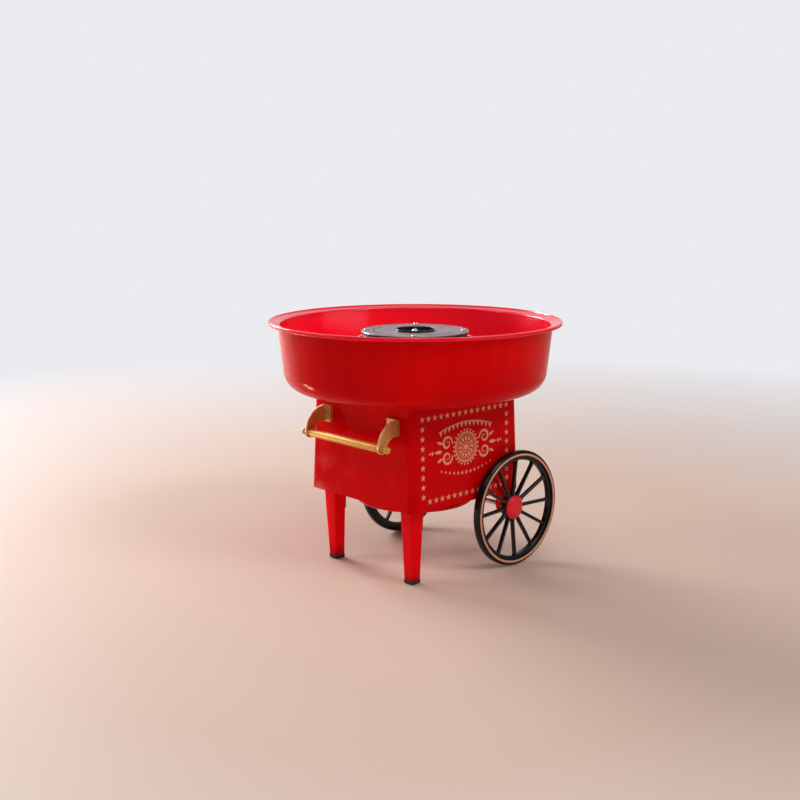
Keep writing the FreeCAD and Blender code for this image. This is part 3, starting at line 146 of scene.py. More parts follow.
class CartHandle(bpy.types.PropertyGroup):
    bar_radius: length("Bar radius", bar_high.z - bar.z, "Grip of the handle")
    bar_groove: length("Bar groove", 0.0032, "Groove of the grip, from its end")
    spigot_radius: length("Spigot radius", 0.0022, "Thin ends that pass through the brackets")
    fan_thickness: length("Fan thickness", 0.0028, "Bracket plate")
    fan_inner: length("Fan place", 0.0544, "Inner face of the plate from the middle of the cart")
    fan_tip: length("Tip radius", 0.0055, "Round end of the plate, at the bar")
    root_rise: level("Root rise", 1.84, "Flange's lower edge above the bar, as a share of the tip")
    crown_in: level("Crown", 0.30, "Middle of the outer curve inside its corner, as a share")
    hollow_in: level("Hollow", 0.40, "Middle of the lower curve from the bar, as a share of the reach")
    hollow_down: level("Hollow depth", 0.75, "How far that curve sags, as a share of the tip")
    border_width: length("Border", 0.0010, "Raised border of the plate")
    border_height: length("Border height", 0.0004, "How far the border stands up")
    rope_radius: length("Rope radius", 0.0014, "Rope moulding on the curved edge")
    rope_pitch: length("Rope pitch", 0.0042, "Length of one full twist")
    rope_relief: level("Rope relief", 0.24, "Depth between the strands, as a share of the radius")
    flange: length("Flange", 0.0038, "Thickness of the flange at its foot")
    flange_round: length("Flange round", 0.0008, "Round on the flange's corners")
    screw_place: length("Screw place", 0.0486, "Screw from the middle of the cart")
    seat_radius: length("Seat radius", 0.0031, "Recess round the screw")
    seat_depth: length("Seat depth", 0.0005, "Depth of that recess")


class CartHead(bpy.types.PropertyGroup):
    hole_radius: length("Hole radius", 0.021, "Hole of the disc, with the funnel in it")
    groove: length("Groove", 0.00025, "Depth of the turned grooves")
    lip_rise: length("Lip rise", 0.0017, "How far the funnel's lip stands above the disc")
    lip_wall: length("Lip wall", 0.0011, "Thickness of the funnel's lip")
    arrow_radius: length("Arrow radius", 0.0440, "Circle of the rotation arrows")
    arrow_width: length("Arrow width", 0.0022, "Width of an arrow's line")
    arrow_film: length("Arrow film", 0.00004, "How far the arrows stand proud")


class CartPrint(bpy.types.PropertyGroup):
    wheel_side: length("Border, wheel side", 0.0592, "Last star of a row, towards the wheels")
    handle_side: length("Border, handle side", 0.0634, "First star of a row, towards the handle")
    low_row: length("Low row", 0.0886, "Height of the lower row of stars")
    high_row: length("High row", 0.1722, "Height of the upper row of stars")
    row_stars: count("Stars in a row", 15, "Stars along the top and the bottom")
    column_stars: count("Stars in a column", 9, "Stars down each side")
    column_pitch: length("Column pitch", 0.00975, "From star to star down each side")
    star_radius: length("Star radius", 0.0036, "Middle of a star to its tips")
    film: length("Film", 0.00005, "How far the print stands proud")
    rosette_radius: length("Rosette radius", 0.0158, "Outside of the rosette's ring")
    rosette_height: length("Rosette place", 0.1365, "Height of the rosette's middle")
    petals: count("Petals", 12, "Petals of the rosette, with as many dots between them")
    beads: count("Beads", 24, "Beads round the rosette")
    scroll_size: length("Scroll size", 0.0074, "Radius of a scroll")
    pennants: count("Pennants", 13, "Pennants above the rosette, and diamonds below it")
    pennant: length("Pennant", 0.0052, "Width of a pennant")


class CartColours(bpy.types.PropertyGroup):
    red: colour("Red", (0.74, 0.0006, 0.0026), "Glossy red of bowl and body")
    # Painted light: the brighter, pinker red that the inside and the rim of the bowl get
    bowl_inside_painted_light: colour("Bowl inside", (0.96, 0.0060, 0.0300), "Brighter red inside the bowl")
    leg_red: colour("Leg red", (0.97, 0.0012, 0.006), "Brighter red of the legs")
    cap_red: colour("Cap red", (0.86, 0.009, 0.020), "Satin red of the hub caps")
    dust: colour("Dust", (0.72, 0.16, 0.17), "Dust specks on the body")
    black: colour("Black", (0.0025, 0.0025, 0.0035), "Black of wheels, feet and switch")
    gold: colour("Gold", (0.78, 0.42, 0.11), "Lacquered gold of the push handle")
    print_gold: colour("Print gold", (0.92, 0.40, 0.22), "Pale gold of panel print and wheel rings")
    head_dark: colour("Head dark", (0.205, 0.125, 0.142), "Coating of the spinning head")
    steel: colour("Steel", (0.62, 0.62, 0.61), "Plated steel")
    floor: colour("Floor", (0.70, 0.51, 0.41), "Pale floor")
    surround: colour("Surround", (0.83, 0.83, 0.87), "Pale surroundings")
    ambient: colour("Ambient", (0.95, 0.97, 1.0), "Light of the surroundings on the cart")


class CartStage(bpy.types.PropertyGroup):
    turn: angle("Turn", 43.14, "Camera round the cart, from the right side towards the handle")
    rise: angle("Rise", 10.19, "Camera above the horizon")
    distance: length("Distance", 1.2894, "Camera to the point that it aims at")
    aim_height: length("Aim height", 0.1805, "Height of that point")
    aim_shift: length("Aim shift", 0.0148, "That point to the left of the spin axis, as seen")
    lens: level("Lens", 54.79, "Focal length on a 36 mm wide sensor")
    ambient: level("Ambient", 0.11, "Strength of the surroundings on the cart")
    dim_gloss: level("Dim gloss", 0.10, "Strength of the room behind the camera, as gloss sees it")
    lamp_aim: length("Lamp aim", 0.14, "Height that the lamps aim at")
    floor_radius: length("Floor radius", 9.0, "Round floor")
    fade_start: length("Fade start", 0.45, "Where the floor starts to fade, from the spin axis")
    fade_end: length("Fade end", 1.5, "Where nothing of the floor is left to see")
    glow_place: length("Glow place", 0.52, "Lamp on the floor, from the spin axis")
    glow_height: length("Glow height", 0.004, "That lamp above the floor")


# ---------------------------------------------------------------- outlines and solids

def panel_half(z):
    """Half width of the body at height z; its walls draw in from foot to top."""
    return body_high.y - wall_draft * (z - body_low.z)


def heading(bearing):
    """Flat unit vector at a bearing."""
    return Vector((math.cos(bearing), math.sin(bearing)))


def rounded_line(corners, finest=8):
    """Closed line through flat (u, v, radius) corners, each an arc in steps of finest degrees."""
    line = []
    for index, (u, v, radius) in enumerate(corners):
        spot = Vector((u, v))
        if radius <= 0:
            line.append(spot)
            continue
        back = (Vector(corners[index - 1][:2]) - spot).normalized()
        ahead = (Vector(corners[(index + 1) % len(corners)][:2]) - spot).normalized()
        half = back.angle(ahead) / 2
        middle = spot + (back + ahead).normalized() * (radius / math.sin(half))
        start = spot + back * (radius / math.tan(half)) - middle
        end = spot + ahead * (radius / math.tan(half)) - middle
        turn = math.pi - 2 * half
        steps = max(2, math.ceil(turn / math.radians(finest)))
        for step in range(steps + 1):
            share = step / steps
            arm = start * math.sin((1 - share) * turn) + end * math.sin(share * turn)
            line.append(middle + arm / math.sin(turn))
    return line


def box_corners(half_u, half_v, radius):
    return [(-half_u, -half_v, radius), (half_u, -half_v, radius),
            (half_u, half_v, radius), (-half_u, half_v, radius)]


def arc_through(start, middle, end, steps):
    """Flat points on the circle that passes through three points."""
    chords = Matrix(((middle - start), (end - start)))
    lengths = Vector(((middle.length_squared - start.length_squared) / 2,
                      (end.length_squared - start.length_squared) / 2))
    centre = chords.inverted() @ lengths
    first, between, last = [math.atan2(*(spot - centre).yx) for spot in (start, middle, end)]
    turn = (last - first) % math.tau
    if (between - first) % math.tau > turn:
        turn -= math.tau
    radius = (start - centre).length
    return [centre + heading(first + turn * step / steps) * radius for step in range(steps + 1)]


def moved_in(line, distance):
    """The same line moved sideways, to the left of its own direction."""
    moved = []
    for index, spot in enumerate(line):
        ahead = (line[min(index + 1, len(line) - 1)] - line[max(index - 1, 0)]).normalized()
        moved.append(spot + Vector((-ahead.y, ahead.x)) * distance)
    return moved


def finer(line, step):
    """The same line with points no further apart than step."""
    made = [line[0]]
    for start, end in zip(line, line[1:]):
        parts = max(1, math.ceil((end - start).length / step))
        made += [start.lerp(end, part / parts) for part in range(1, parts + 1)]
    return made


def add_turned(shape, outline, centre, axis, turns):
    """Adds a closed solid made by turning a (radius, height) outline about an axis."""
    axis = Vector(axis).normalized()
    side = axis.orthogonal().normalized()
    other = axis.cross(side)
    bearings = [math.tau * turn / turns for turn in range(turns)]
    arms = [side * math.cos(bearing) + other * math.sin(bearing) for bearing in bearings]
    rings = []
    for radius, height in outline:
        foot = centre + axis * height
        if radius < tiny:
            rings.append([shape.verts.new(foot)] * turns)
        else:
            rings.append([shape.verts.new(foot + arm * radius) for arm in arms])
    for low, high in zip(rings, rings[1:] + rings[:1]):
        for turn in range(turns):
            after = (turn + 1) % turns
            corners = list(dict.fromkeys([low[turn], low[after], high[after], high[turn]]))
            if len(corners) > 2:
                shape.faces.new(corners)


def add_lofted(shape, loops):
    """Adds a closed solid through loops of equally many points, with flat ends."""
    rings = [[shape.verts.new(spot) for spot in loop] for loop in loops]
    size = len(rings[0])
    for low, high in zip(rings, rings[1:]):
        for index in range(size):
            after = (index + 1) % size
            shape.faces.new([low[index], low[after], high[after], high[index]])
    shape.faces.new(rings[0])
    shape.faces.new(rings[-1])


def add_plate(shape, outline, low, high, place):
    """Adds a plate with a flat outline; place makes a point of u, v and the height."""
    add_lofted(shape, [[place(u, v, w) for u, v in outline] for w in (low, high)])


def add_band(shape, inner, outer, low, high, place, closed):
    """Adds a flat band between two lines of equally many points."""
    rings = [[shape.verts.new(place(u, v, w)) for u, v in line]
             for line, w in ((inner, high), (outer, high), (outer, low), (inner, low))]
    size = len(inner)
    for index in range(size if closed else size - 1):
        after = (index + 1) % size
        for low_ring, high_ring in zip(rings, rings[1:] + rings[:1]):
            shape.faces.new([low_ring[index], low_ring[after], high_ring[after], high_ring[index]])
    if not closed:
        shape.faces.new([ring[0] for ring in rings])
        shape.faces.new([ring[-1] for ring in rings])


def link_mesh(name, shape):
    """Makes an object of a bmesh and puts it in the scene."""
    mesh = bpy.data.meshes.new(name)
    shape.to_mesh(mesh)
    shape.free()
    made = bpy.data.objects.new(name, mesh)
    bpy.context.collection.objects.link(made)
    return made


def new_piece(name, shape, body, look, slot, replaced=()):
    """Makes a piece and says where it rides, its finish and what it stands for; slot is not used."""
    bmesh.ops.remove_doubles(shape, verts=shape.verts, dist=tiny)
    bmesh.ops.recalc_face_normals(shape, faces=shape.faces)
    piece = link_mesh(name, shape)
    piece.data.shade_smooth()
    piece.data.set_sharp_from_angle(angle=crease)
    piece.data.materials.append(finish(look))
    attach(piece, body)
    if replaced:
        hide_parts(*replaced)
    return piece


def turned_piece(name, outline, centre, axis, turns, *tags):
    """A piece that is turned about one axis; tags are what new_piece takes after its shape."""
    shape = bmesh.new()
    add_turned(shape, outline, centre, axis, turns)
    return new_piece(name, shape, *tags)


class Film:
    """Printed forms on a skin, all in one shape; place makes a point of u, v and the height."""

    def __init__(self, low, high, place):
        self.shape = bmesh.new()
        self.layer = (low, high, place)

    def plate(self, outline):
        add_plate(self.shape, outline, *self.layer)

    def band(self, inner, outer, closed=False):
        add_band(self.shape, inner, outer, *self.layer, closed)

    def ring(self, centre, inside, outside):
        self.band(circle(centre, inside), circle(centre, outside), closed=True)


# ---------------------------------------------------------------- finishes

class Nodes:
    """The nodes of a material or a world, with short ways to add and to join them."""

    def __init__(self, owner):
        owner.use_nodes = True
        self.tree = owner.node_tree

    def feed(self, socket, value):
        """Joins another node's output to the socket, or sets the socket's own value."""
        if isinstance(value, bpy.types.NodeSocket):
            self.tree.links.new(value, socket)
        elif socket.type == "RGBA":
            socket.default_value = (*value, 1)
        else:
            socket.default_value = value

    def add(self, kind, values=(), **settings):
        node = self.tree.nodes.new("ShaderNode" + kind)
        for label, setting in settings.items():
            setattr(node, label, setting)
        for label, value in dict(values).items():
            self.feed(node.inputs[label], value)
        return node

    def maths(self, operation, first, second):
        return self.add("Math", {0: first, 1: second}, operation=operation).outputs[0]

    def vectors(self, operation, first, second=(0.0, 0.0, 0.0)):
        outputs = self.add("VectorMath", {0: first, 1: second}, operation=operation).outputs
        return outputs["Value" if operation in ("LENGTH", "DOT_PRODUCT") else "Vector"]

    def spread(self, pattern, start, end, low=0.0, high=1.0, **settings):
        """Maps the pattern's range start to end onto low to high."""
        return self.add("MapRange", {"Value": pattern, "From Min": start, "From Max": end,
                                     "To Min": low, "To Max": high}, **settings).outputs["Result"]

    def mix(self, share, first, second):
        return self.add("MixShader", {0: share, 1: first, 2: second}).outputs[0]

    def show(self, output, shader):
        self.feed(self.tree.nodes[output].inputs["Surface"], shader)


class Surface(Nodes):
    """One material, with the marks that most finishes share."""

    def __init__(self, name, base, roughness, metallic=0.0, specular=0.5):
        self.material = bpy.data.materials.new(name + "_finish")
        super().__init__(self.material)
        self.shader = self.tree.nodes["Principled BSDF"]
        self.give({"Base Color": base, "Roughness": roughness, "Metallic": metallic,
                   "Specular IOR Level": specular})
        self.where = self.add("TexCoord").outputs["Object"]
        self.normal = None

    def give(self, values):
        for label, value in values.items():
            self.feed(self.shader.inputs[label], value)

    def noise(self, per_metre, detail=3.0, stretch=None, roughness=0.5, distortion=0.0):
        """Noise in object coordinates, with each axis stretched by its factor."""
        where = self.where
        if stretch:
            where = self.add("Mapping", {"Vector": where, "Scale": stretch}).outputs["Vector"]
        return self.add("TexNoise", {"Vector": where, "Scale": per_metre, "Detail": detail,
                                     "Roughness": roughness, "Distortion": distortion}).outputs["Fac"]

    def specks(self, per_metre, start, end):
        """One in the middle of each cell, nought beyond a share of its width."""
        cells = self.add("TexVoronoi", {"Vector": self.where, "Scale": per_metre}, feature="F1")
        return self.spread(cells.outputs["Distance"], start, end, 1.0, 0.0)

    def height(self):
        return self.add("SeparateXYZ", {0: self.where}).outputs["Z"]

    def flat(self):
        """Object coordinates with their height left out."""
        return self.vectors("MULTIPLY", self.where, (1.0, 1.0, 0.0))

    def faces_axis(self):
        """One where the surface faces the Z axis, nought where it faces away."""
        turned = self.add("TexCoord").outputs["Normal"]
        return self.spread(self.vectors("DOT_PRODUCT", turned, self.flat()), -0.008, 0.008, 1.0, 0.0)

    def blend(self, pattern, first, second):
        """Colour between first and second, each a colour or another blend."""
        return self.add("Mix", {0: pattern, 6: first, 7: second}, data_type="RGBA").outputs[2]

    def between(self, pattern, start, end, first, second):
        """Colour from first to second over the pattern's range."""
        return self.blend(self.spread(pattern, start, end), first, second)

    def shades(self, pattern, start, end, base, darker, lighter):
        """Shades of one colour over the pattern's range."""
        return self.between(pattern, start, end, shade(base, darker), shade(base, lighter))

    def tint(self, output):
        self.give({"Base Color": output})

    def roughen(self, pattern, start, end, low, high):
        self.give({"Roughness": self.spread(pattern, start, end, low, high)})

    def bump(self, height, depth):
        """Adds relief of the given depth in metres, on top of the relief so far."""
        node = self.add("Bump", {"Distance": depth, "Strength": 1.0, "Height": height})
        if self.normal:
            self.feed(node.inputs["Normal"], self.normal)
        self.normal = node.outputs["Normal"]
        self.give({"Normal": self.normal})

    def turned_marks(self, per_metre, depth):
        """Fine rings about the Z axis, as turning leaves them."""
        reach = self.vectors("LENGTH", self.flat())
        rings = self.add("TexNoise", {"W": reach, "Scale": per_metre, "Detail": 3.0},
                         noise_dimensions="1D").outputs["Fac"]
        self.bump(rings, depth)
        return rings

    def let_light_through(self, share):
        """Lets red light through thin walls, as pigmented plastic does."""
        self.give({"Subsurface Weight": share, "Subsurface Radius": (1.0, 0.12, 0.16),
                   "Subsurface Scale": 0.008})


def shade(base, factor):
    return tuple(min(1.0, part * factor) for part in base)


def moulded(name, base, low, high, peel=4e-6, specular=0.5):
    """Moulded plastic: faint flow marks, smudges in the gloss and a slightly wavy skin."""
    skin = Surface(name, base, low, specular=specular)
    skin.tint(skin.shades(skin.noise(14.0, 2.0), 0.3, 0.7, base, 0.93, 1.05))
    skin.roughen(skin.noise(46.0, 6.0, roughness=0.62), 0.45, 0.72, low, high)
    skin.bump(skin.noise(22.0, 1.0), 9e-5)
    skin.bump(skin.noise(900.0, 2.0), peel)
    return skin


def red_gloss(colours):
    """Red plastic of the body, with dust specks and faint wipe marks."""
    skin = moulded("red_gloss", colours.red, 0.07, 0.30, specular=0.04)
    wipes = skin.noise(60.0, 5.0, (1.0, 1.0, 0.25), distortion=0.6)
    dusty = skin.spread(skin.noise(25.0, 2.0), 0.5, 0.62, 0.0, 0.35)
    dust = skin.maths("MULTIPLY", skin.specks(210.0, 0.05, 0.09), dusty)
    wiped = skin.shades(wipes, 0.48, 0.7, colours.red, 0.96, 1.06)
    skin.tint(skin.blend(dust, wiped, colours.dust))
    return skin


def bowl_red(colours):
    """Red plastic of the bowl: soft upright draw marks outside on a darker copy of the red, which is
    painted shade, and a brighter, pinker red inside and on the rim, which is painted light; glossier
    inside.
    """
    skin = Surface("bowl_red", colours.red, 0.06)
    skin.let_light_through(0.8)
    draw = skin.noise(55.0, 3.0, (1.0, 1.0, 0.06))
    # The outside is a darker copy of the red, 0.74 to 0.84 of it: painted shade, with the draw marks as
    # random tone
    wall = skin.shades(draw, 0.35, 0.65, colours.red, 0.74, 0.84)
    # The rim's top joins the inside mask, so it gets the painted light as well
    on_rim = skin.spread(skin.height(), bowl_high.z - 0.0042, bowl_high.z - 0.0036)
    inside = skin.maths("MAXIMUM", skin.faces_axis(), on_rim)
    smudge = skin.spread(skin.noise(38.0, 6.0, roughness=0.6), 0.48, 0.75, 0.04, 0.18)
    duller = skin.spread(inside, 0.0, 1.0, 0.0, 0.10)
    # Inside and on the rim the colour turns to the brighter, pinker red: painted light
    skin.give({"Base Color": skin.blend(inside, wall, colours.bowl_inside_painted_light),
               "Specular IOR Level": skin.spread(inside, 0.0, 1.0, 0.06, 0.45),
               "Roughness": skin.maths("ADD", smudge, duller)})
    skin.bump(skin.noise(26.0, 1.0, (1.0, 1.0, 0.3)), 1.1e-4)
    skin.bump(skin.noise(1100.0, 2.0), 2e-6)
    return skin


def leg_red(colours):
    """Red plastic of the legs, darker towards the floor as painted shade, broken up by noise."""
    skin = moulded("leg_red", colours.leg_red, 0.12, 0.34, specular=0.08)
    skin.let_light_through(0.6)
    # Painted shade: the legs darken towards the floor, broken up by noise
    shade_near_floor = skin.spread(skin.height(), 0.004, 0.020, 1.0, 0.0)
    shade_breakup = skin.spread(skin.noise(160.0, 4.0), 0.35, 0.65, 0.3, 1.0)
    scuff_and_shade = skin.maths("MULTIPLY", shade_near_floor, shade_breakup)
    skin.tint(skin.blend(scuff_and_shade, colours.leg_red, shade(colours.leg_red, 0.42)))
    return skin


def cap_red(colours):
    """Satin red of the hub caps, with a spark eroded grain."""
    skin = moulded("cap_red", colours.cap_red, 0.26, 0.38, specular=0.36)
    skin.bump(skin.noise(2600.0, 2.0), 9e-6)
    return skin


def black_gloss(colours):
    """Black plastic of wheels and switch, with pale scuffs."""
    base = colours.black
    skin = moulded("black_gloss", base, 0.07, 0.20, peel=2e-6, specular=0.34)
    scuff_and_shade = skin.spread(skin.noise(120.0, 8.0, roughness=0.7), 0.64, 0.78, 0.0, 0.4)
    skin.tint(skin.blend(scuff_and_shade, base, shade(base, 4.0)))
    return skin


def black_matte(colours):
    """Matte black plastic of the arrows and the parts inside."""
    skin = moulded("black_matte", (0.014, 0.014, 0.015), 0.42, 0.6)
    skin.bump(skin.noise(1800.0, 3.0), 1.6e-5)
    return skin


def gold_plastic(colours):
    """Gold lacquer over plastic, with long faint strokes and rubbed patches."""
    skin = Surface("gold", colours.gold, 0.46, metallic=0.65)
    strokes = skin.noise(330.0, 4.0, (1.0, 0.08, 1.0))
    skin.tint(skin.shades(strokes, 0.3, 0.7, colours.gold, 0.88, 1.08))
    skin.roughen(skin.noise(90.0, 5.0), 0.35, 0.7, 0.44, 0.54)
    skin.bump(strokes, 3e-6)
    skin.bump(skin.noise(2400.0, 2.0), 4e-6)
    return skin


def rope_gold(colours):
    """Pale gold of the rope mouldings: a lighter copy of the handle's gold, which is a painted highlight,
    mottled at random.
    """
    skin = Surface("rope_gold", (0.92, 0.74, 0.48), 0.30, metallic=0.55)
    highlight_mottle = skin.noise(700.0)
    # Both golds are paler than the handle's: painted highlight on the rope's strands
    skin.tint(skin.between(highlight_mottle, 0.3, 0.7, (0.80, 0.58, 0.30), (0.98, 0.84, 0.60)))
    skin.roughen(highlight_mottle, 0.3, 0.7, 0.26, 0.40)
    skin.bump(skin.noise(2400.0, 2.0), 4e-6)
    return skin


def gold_print(colours):
    """Metallic ink, with its slight mottle on plastic."""
    skin = Surface("gold_print", colours.print_gold, 0.42, metallic=0.25)
    mottle = skin.noise(900.0, 4.0, roughness=0.65)
    skin.tint(skin.shades(mottle, 0.35, 0.65, colours.print_gold, 0.88, 1.08))
    skin.roughen(skin.noise(300.0), 0.4, 0.7, 0.36, 0.52)
    skin.bump(mottle, 6e-6)
    return skin


def black_enamel(colours):
    """Stove enamel of the heater pan, dulled in patches by heat."""
    skin = Surface("black_enamel", (0.012, 0.012, 0.013), 0.32)
    heat = skin.noise(60.0, 6.0, roughness=0.6)
    skin.tint(skin.between(heat, 0.45, 0.7, (0.010, 0.010, 0.011), (0.035, 0.028, 0.024)))
    skin.roughen(heat, 0.35, 0.7, 0.25, 0.55)
    skin.bump(skin.noise(700.0), 1e-5)
    return skin


def head_coating(colours):
    """Dark satin coating of the spinning disc, with turned rings and smudges."""
    skin = Surface("head_coating", colours.head_dark, 0.30, metallic=0.65)
    rings = skin.turned_marks(2600.0, 1.2e-6)
    skin.tint(skin.shades(rings, 0.3, 0.7, colours.head_dark, 0.86, 1.14))
    skin.roughen(skin.noise(70.0, 7.0, roughness=0.7), 0.4, 0.7, 0.26, 0.42)
    skin.bump(skin.noise(1500.0, 2.0), 2e-6)
    return skin


def head_black(colours):
    """Black coating of funnel and cup."""
    skin = Surface("head_black", (0.010, 0.010, 0.013), 0.16)
    film = skin.noise(110.0, 5.0)
    skin.tint(skin.between(film, 0.4, 0.7, (0.008, 0.008, 0.010), (0.022, 0.020, 0.020)))
    skin.roughen(film, 0.35, 0.7, 0.12, 0.34)
    skin.turned_marks(1800.0, 1.5e-6)
    return skin


def metal(name, base, low, high, grain, per_metre, stretch=None):
    """Plain metal with a grain and stains in its polish."""
    skin = Surface(name, base, low, metallic=1.0)
    stain = skin.noise(150.0, 5.0, roughness=0.6)
    skin.tint(skin.shades(stain, 0.3, 0.7, base, 0.84, 1.06))
    skin.roughen(stain, 0.35, 0.7, low, high)
    skin.bump(skin.noise(per_metre, 4.0, stretch), grain)
    return skin


def steel(colours):
    return metal("steel", colours.steel, 0.20, 0.36, 3e-6, 1500.0)


def dull(name, base, lighter, low, high, grain, per_metre):
    """Dull, grainy material with a speckled colour."""
    skin = Surface(name, base, low)
    speckle = skin.noise(per_metre, 5.0, roughness=0.65)
    skin.tint(skin.between(speckle, 0.35, 0.7, base, lighter))
    skin.roughen(skin.noise(per_metre / 5), 0.35, 0.65, low, high)
    skin.bump(speckle, grain)
    return skin


finish_makers = {make.__name__: make for make in (
    red_gloss, bowl_red, leg_red, cap_red, black_gloss, black_matte, gold_plastic, rope_gold,
    gold_print, black_enamel, head_coating, head_black, steel)}

# Base, roughness from and to, depth of the grain, grain per metre and its stretch
metals = {
    "bright_ring": ((0.80, 0.80, 0.80), 0.08, 0.20, 1e-6, 900.0),
    "alloy": ((0.74, 0.74, 0.75), 0.24, 0.38, 4e-6, 1200.0, (1.0, 1.0, 12.0)),
    "bronze": ((0.52, 0.33, 0.16), 0.34, 0.5, 8e-6, 2600.0),
    "copper": ((0.62, 0.22, 0.10), 0.25, 0.4, 1.6e-5, 1500.0, (1.0, 1.0, 6.0)),
}

# Base, lighter specks, roughness from and to, depth of the grain and specks per metre
dulls = {
    "ceramic": ((0.72, 0.69, 0.62), (0.86, 0.84, 0.79), 0.5, 0.75, 1.2e-5, 1300.0),
    "rubber": ((0.012, 0.012, 0.012), (0.026, 0.026, 0.026), 0.5, 0.72, 1.4e-5, 1500.0),
    "dark_magnet": ((0.07, 0.07, 0.075), (0.13, 0.13, 0.14), 0.55, 0.8, 2e-5, 2200.0),
    "carbon": ((0.02, 0.02, 0.02), (0.05, 0.05, 0.05), 0.4, 0.6, 8e-6, 3000.0),
    "board_green": ((0.018, 0.12, 0.04), (0.03, 0.18, 0.06), 0.25, 0.4, 8e-6, 700.0),
    "terminal_white": ((0.66, 0.66, 0.63), (0.76, 0.76, 0.73), 0.35, 0.5, 6e-6, 900.0),
    "capacitor_body": ((0.46, 0.14, 0.03), (0.56, 0.19, 0.05), 0.25, 0.45, 1.2e-5, 800.0),
    "wire": ((0.42, 0.42, 0.44), (0.55, 0.55, 0.57), 0.4, 0.55, 6e-6, 1500.0),
}

# The finish of the slots that aren't named after theirs
slot_finishes = {"red_satin": "leg_red", "gold_stripe": "gold_print"}

finishes = {}


def finish(name):
    """The material of a finish, made the first time that it is asked for."""
    if name not in finishes:
        if name in metals:
            skin = metal(name, *metals[name])
        elif name in dulls:
            skin = dull(name, *dulls[name])
        else:
            skin = finish_makers[name](bpy.context.scene.cart_colours)
        finishes[name] = skin.material
    return finishes[name]


# ---------------------------------------------------------------- bowl

def bowl_outline(bowl):
    """Half section of the bowl as (radius, height) points."""
    low = bowl_low.z
    top = bowl_high.z
    wall_top_r = bowl.rim_radius - bowl.rim_width
    wall_low_r = wall_top_r - bowl.lean
    rim_low = top - bowl.rim_rise
    lean = bowl.lean / (rim_low - bowl.wall - low)
    run = bowl.wall * math.hypot(1, lean)
    climb = bowl.rim_rise / (bowl.rim_width + run)
    lip_r = bowl.rim_radius - bowl.lip_wall
    lip_low = top - bowl.lip_depth
    bead_r = lip_r - bowl.bead
    groove_r = bead_r - bowl.bead * 2
    groove = top - climb * (bowl.rim_radius - groove_r) - bowl.bead
    floor_top = low + bowl.wall
    collar_top = low + bowl.collar_height
    collar_r = bowl.hole_radius + bowl.wall
    return rounded_line([
        (bowl.hole_radius, low, 0.0004), (wall_low_r, low, bowl.corner_radius),
        (wall_top_r, rim_low - bowl.wall, bowl.wall / 2),
        (lip_r, top - bowl.wall - climb * bowl.lip_wall, bowl.wall / 6),
        (lip_r, lip_low, bowl.lip_wall * 0.3), (bowl.rim_radius, lip_low, bowl.lip_wall * 0.4),
        (bowl.rim_radius, top, bowl.lip_wall * 0.5),
        (bead_r, top, bowl.bead), (groove_r, groove, bowl.bead),
        (wall_top_r - run, rim_low, bowl.wall * 0.8),
        (wall_low_r + lean * bowl.wall - run, floor_top, bowl.corner_radius - bowl.wall),
        (collar_r + bowl.collar_flare, floor_top, bowl.corner_radius / 3),
        (collar_r, collar_top, bowl.wall * 0.4), (bowl.hole_radius, collar_top, bowl.wall * 0.4),
    ], finest=5)


class CART_OT_bowl(bpy.types.Operator):
    """Turned bowl with a flared rim, a groove beside its edge and a collar in the middle"""
    bl_idname = "cart.bowl"
    bl_label = "Bowl"

    def execute(self, context):
        turned_piece("spun_sugar_bowl", bowl_outline(context.scene.cart_bowl), origin, up, 256,
                     "bowl", "bowl_red", "red_gloss", ["bowl"])
        return {"FINISHED"}


# ---------------------------------------------------------------- wheels

def rim_outline(wheels):
    """Tyre with a groove for the ring, and the rim's inner band a step behind its face."""
    inner_r = wheels.radius - wheels.rim_width
    band_r = inner_r + wheels.band_width
    face = wheel_high.y
    back = face - wheels.thickness
    floor = face - wheels.step
    groove_in = wheels.ring_radius - wheels.ring_width
    return rounded_line([
        (inner_r, back + wide, 0.0009), (band_r, back, wide),
        (wheels.radius, back, wheels.tyre_round), (wheels.radius, face, wheels.tyre_round),
        (wheels.ring_radius, face, fine), (wheels.ring_radius, floor, 0.0),
        (groove_in, floor, 0.0), (groove_in, face, fine),
        (band_r + fine, face, soft), (band_r - soft, floor, soft), (inner_r, floor, 0.0011),
    ], finest=10)


def ring_outline(wheels):
    floor = wheel_high.y - wheels.step
    inner_r = wheels.ring_radius - wheels.ring_width
    return rounded_line([(inner_r, floor, 0.0), (wheels.ring_radius, floor, 0.0),
                         (wheels.ring_radius, stripe_high.y, soft), (inner_r, stripe_high.y, soft)],
                        finest=15)


def spoke_places(wheels):
    """Middle of a spoke along the axle, where it leaves the hub and where it meets the rim."""
    hub_end = wheel_high.y - wheels.dish - wheels.spoke_step - wheels.spoke_depth / 2
    return hub_end, wheel_high.y - wheels.thickness / 2


def hub_outline(wheels):
    """Hub with a neck towards the cart, a stepped lip and a recess for the cap."""
    face = wheel_high.y - wheels.dish
    shoulder = spoke_places(wheels)[0] - wheels.spoke_depth / 2
    recess = face - wheels.recess_depth
    lip = wheels.hub_lip
    return rounded_line([
        (wheels.bore_radius, wheel_low.y, soft), (wheels.neck_radius, wheel_low.y, 0.0014),
        (wheels.neck_radius, shoulder + wheels.neck_radius - wheels.hub_radius, 0.0008),
        (wheels.hub_radius, shoulder, 0.0010),
        (wheels.hub_radius, face - lip, 0.0004), (wheels.hub_radius - lip / 2, face - lip, fine),
        (wheels.hub_radius - lip, face, 0.0004), (wheels.recess_radius, face, soft),
        (wheels.recess_radius, recess, 0.0), (wheels.bore_radius, recess, 0.0),
    ], finest=12)


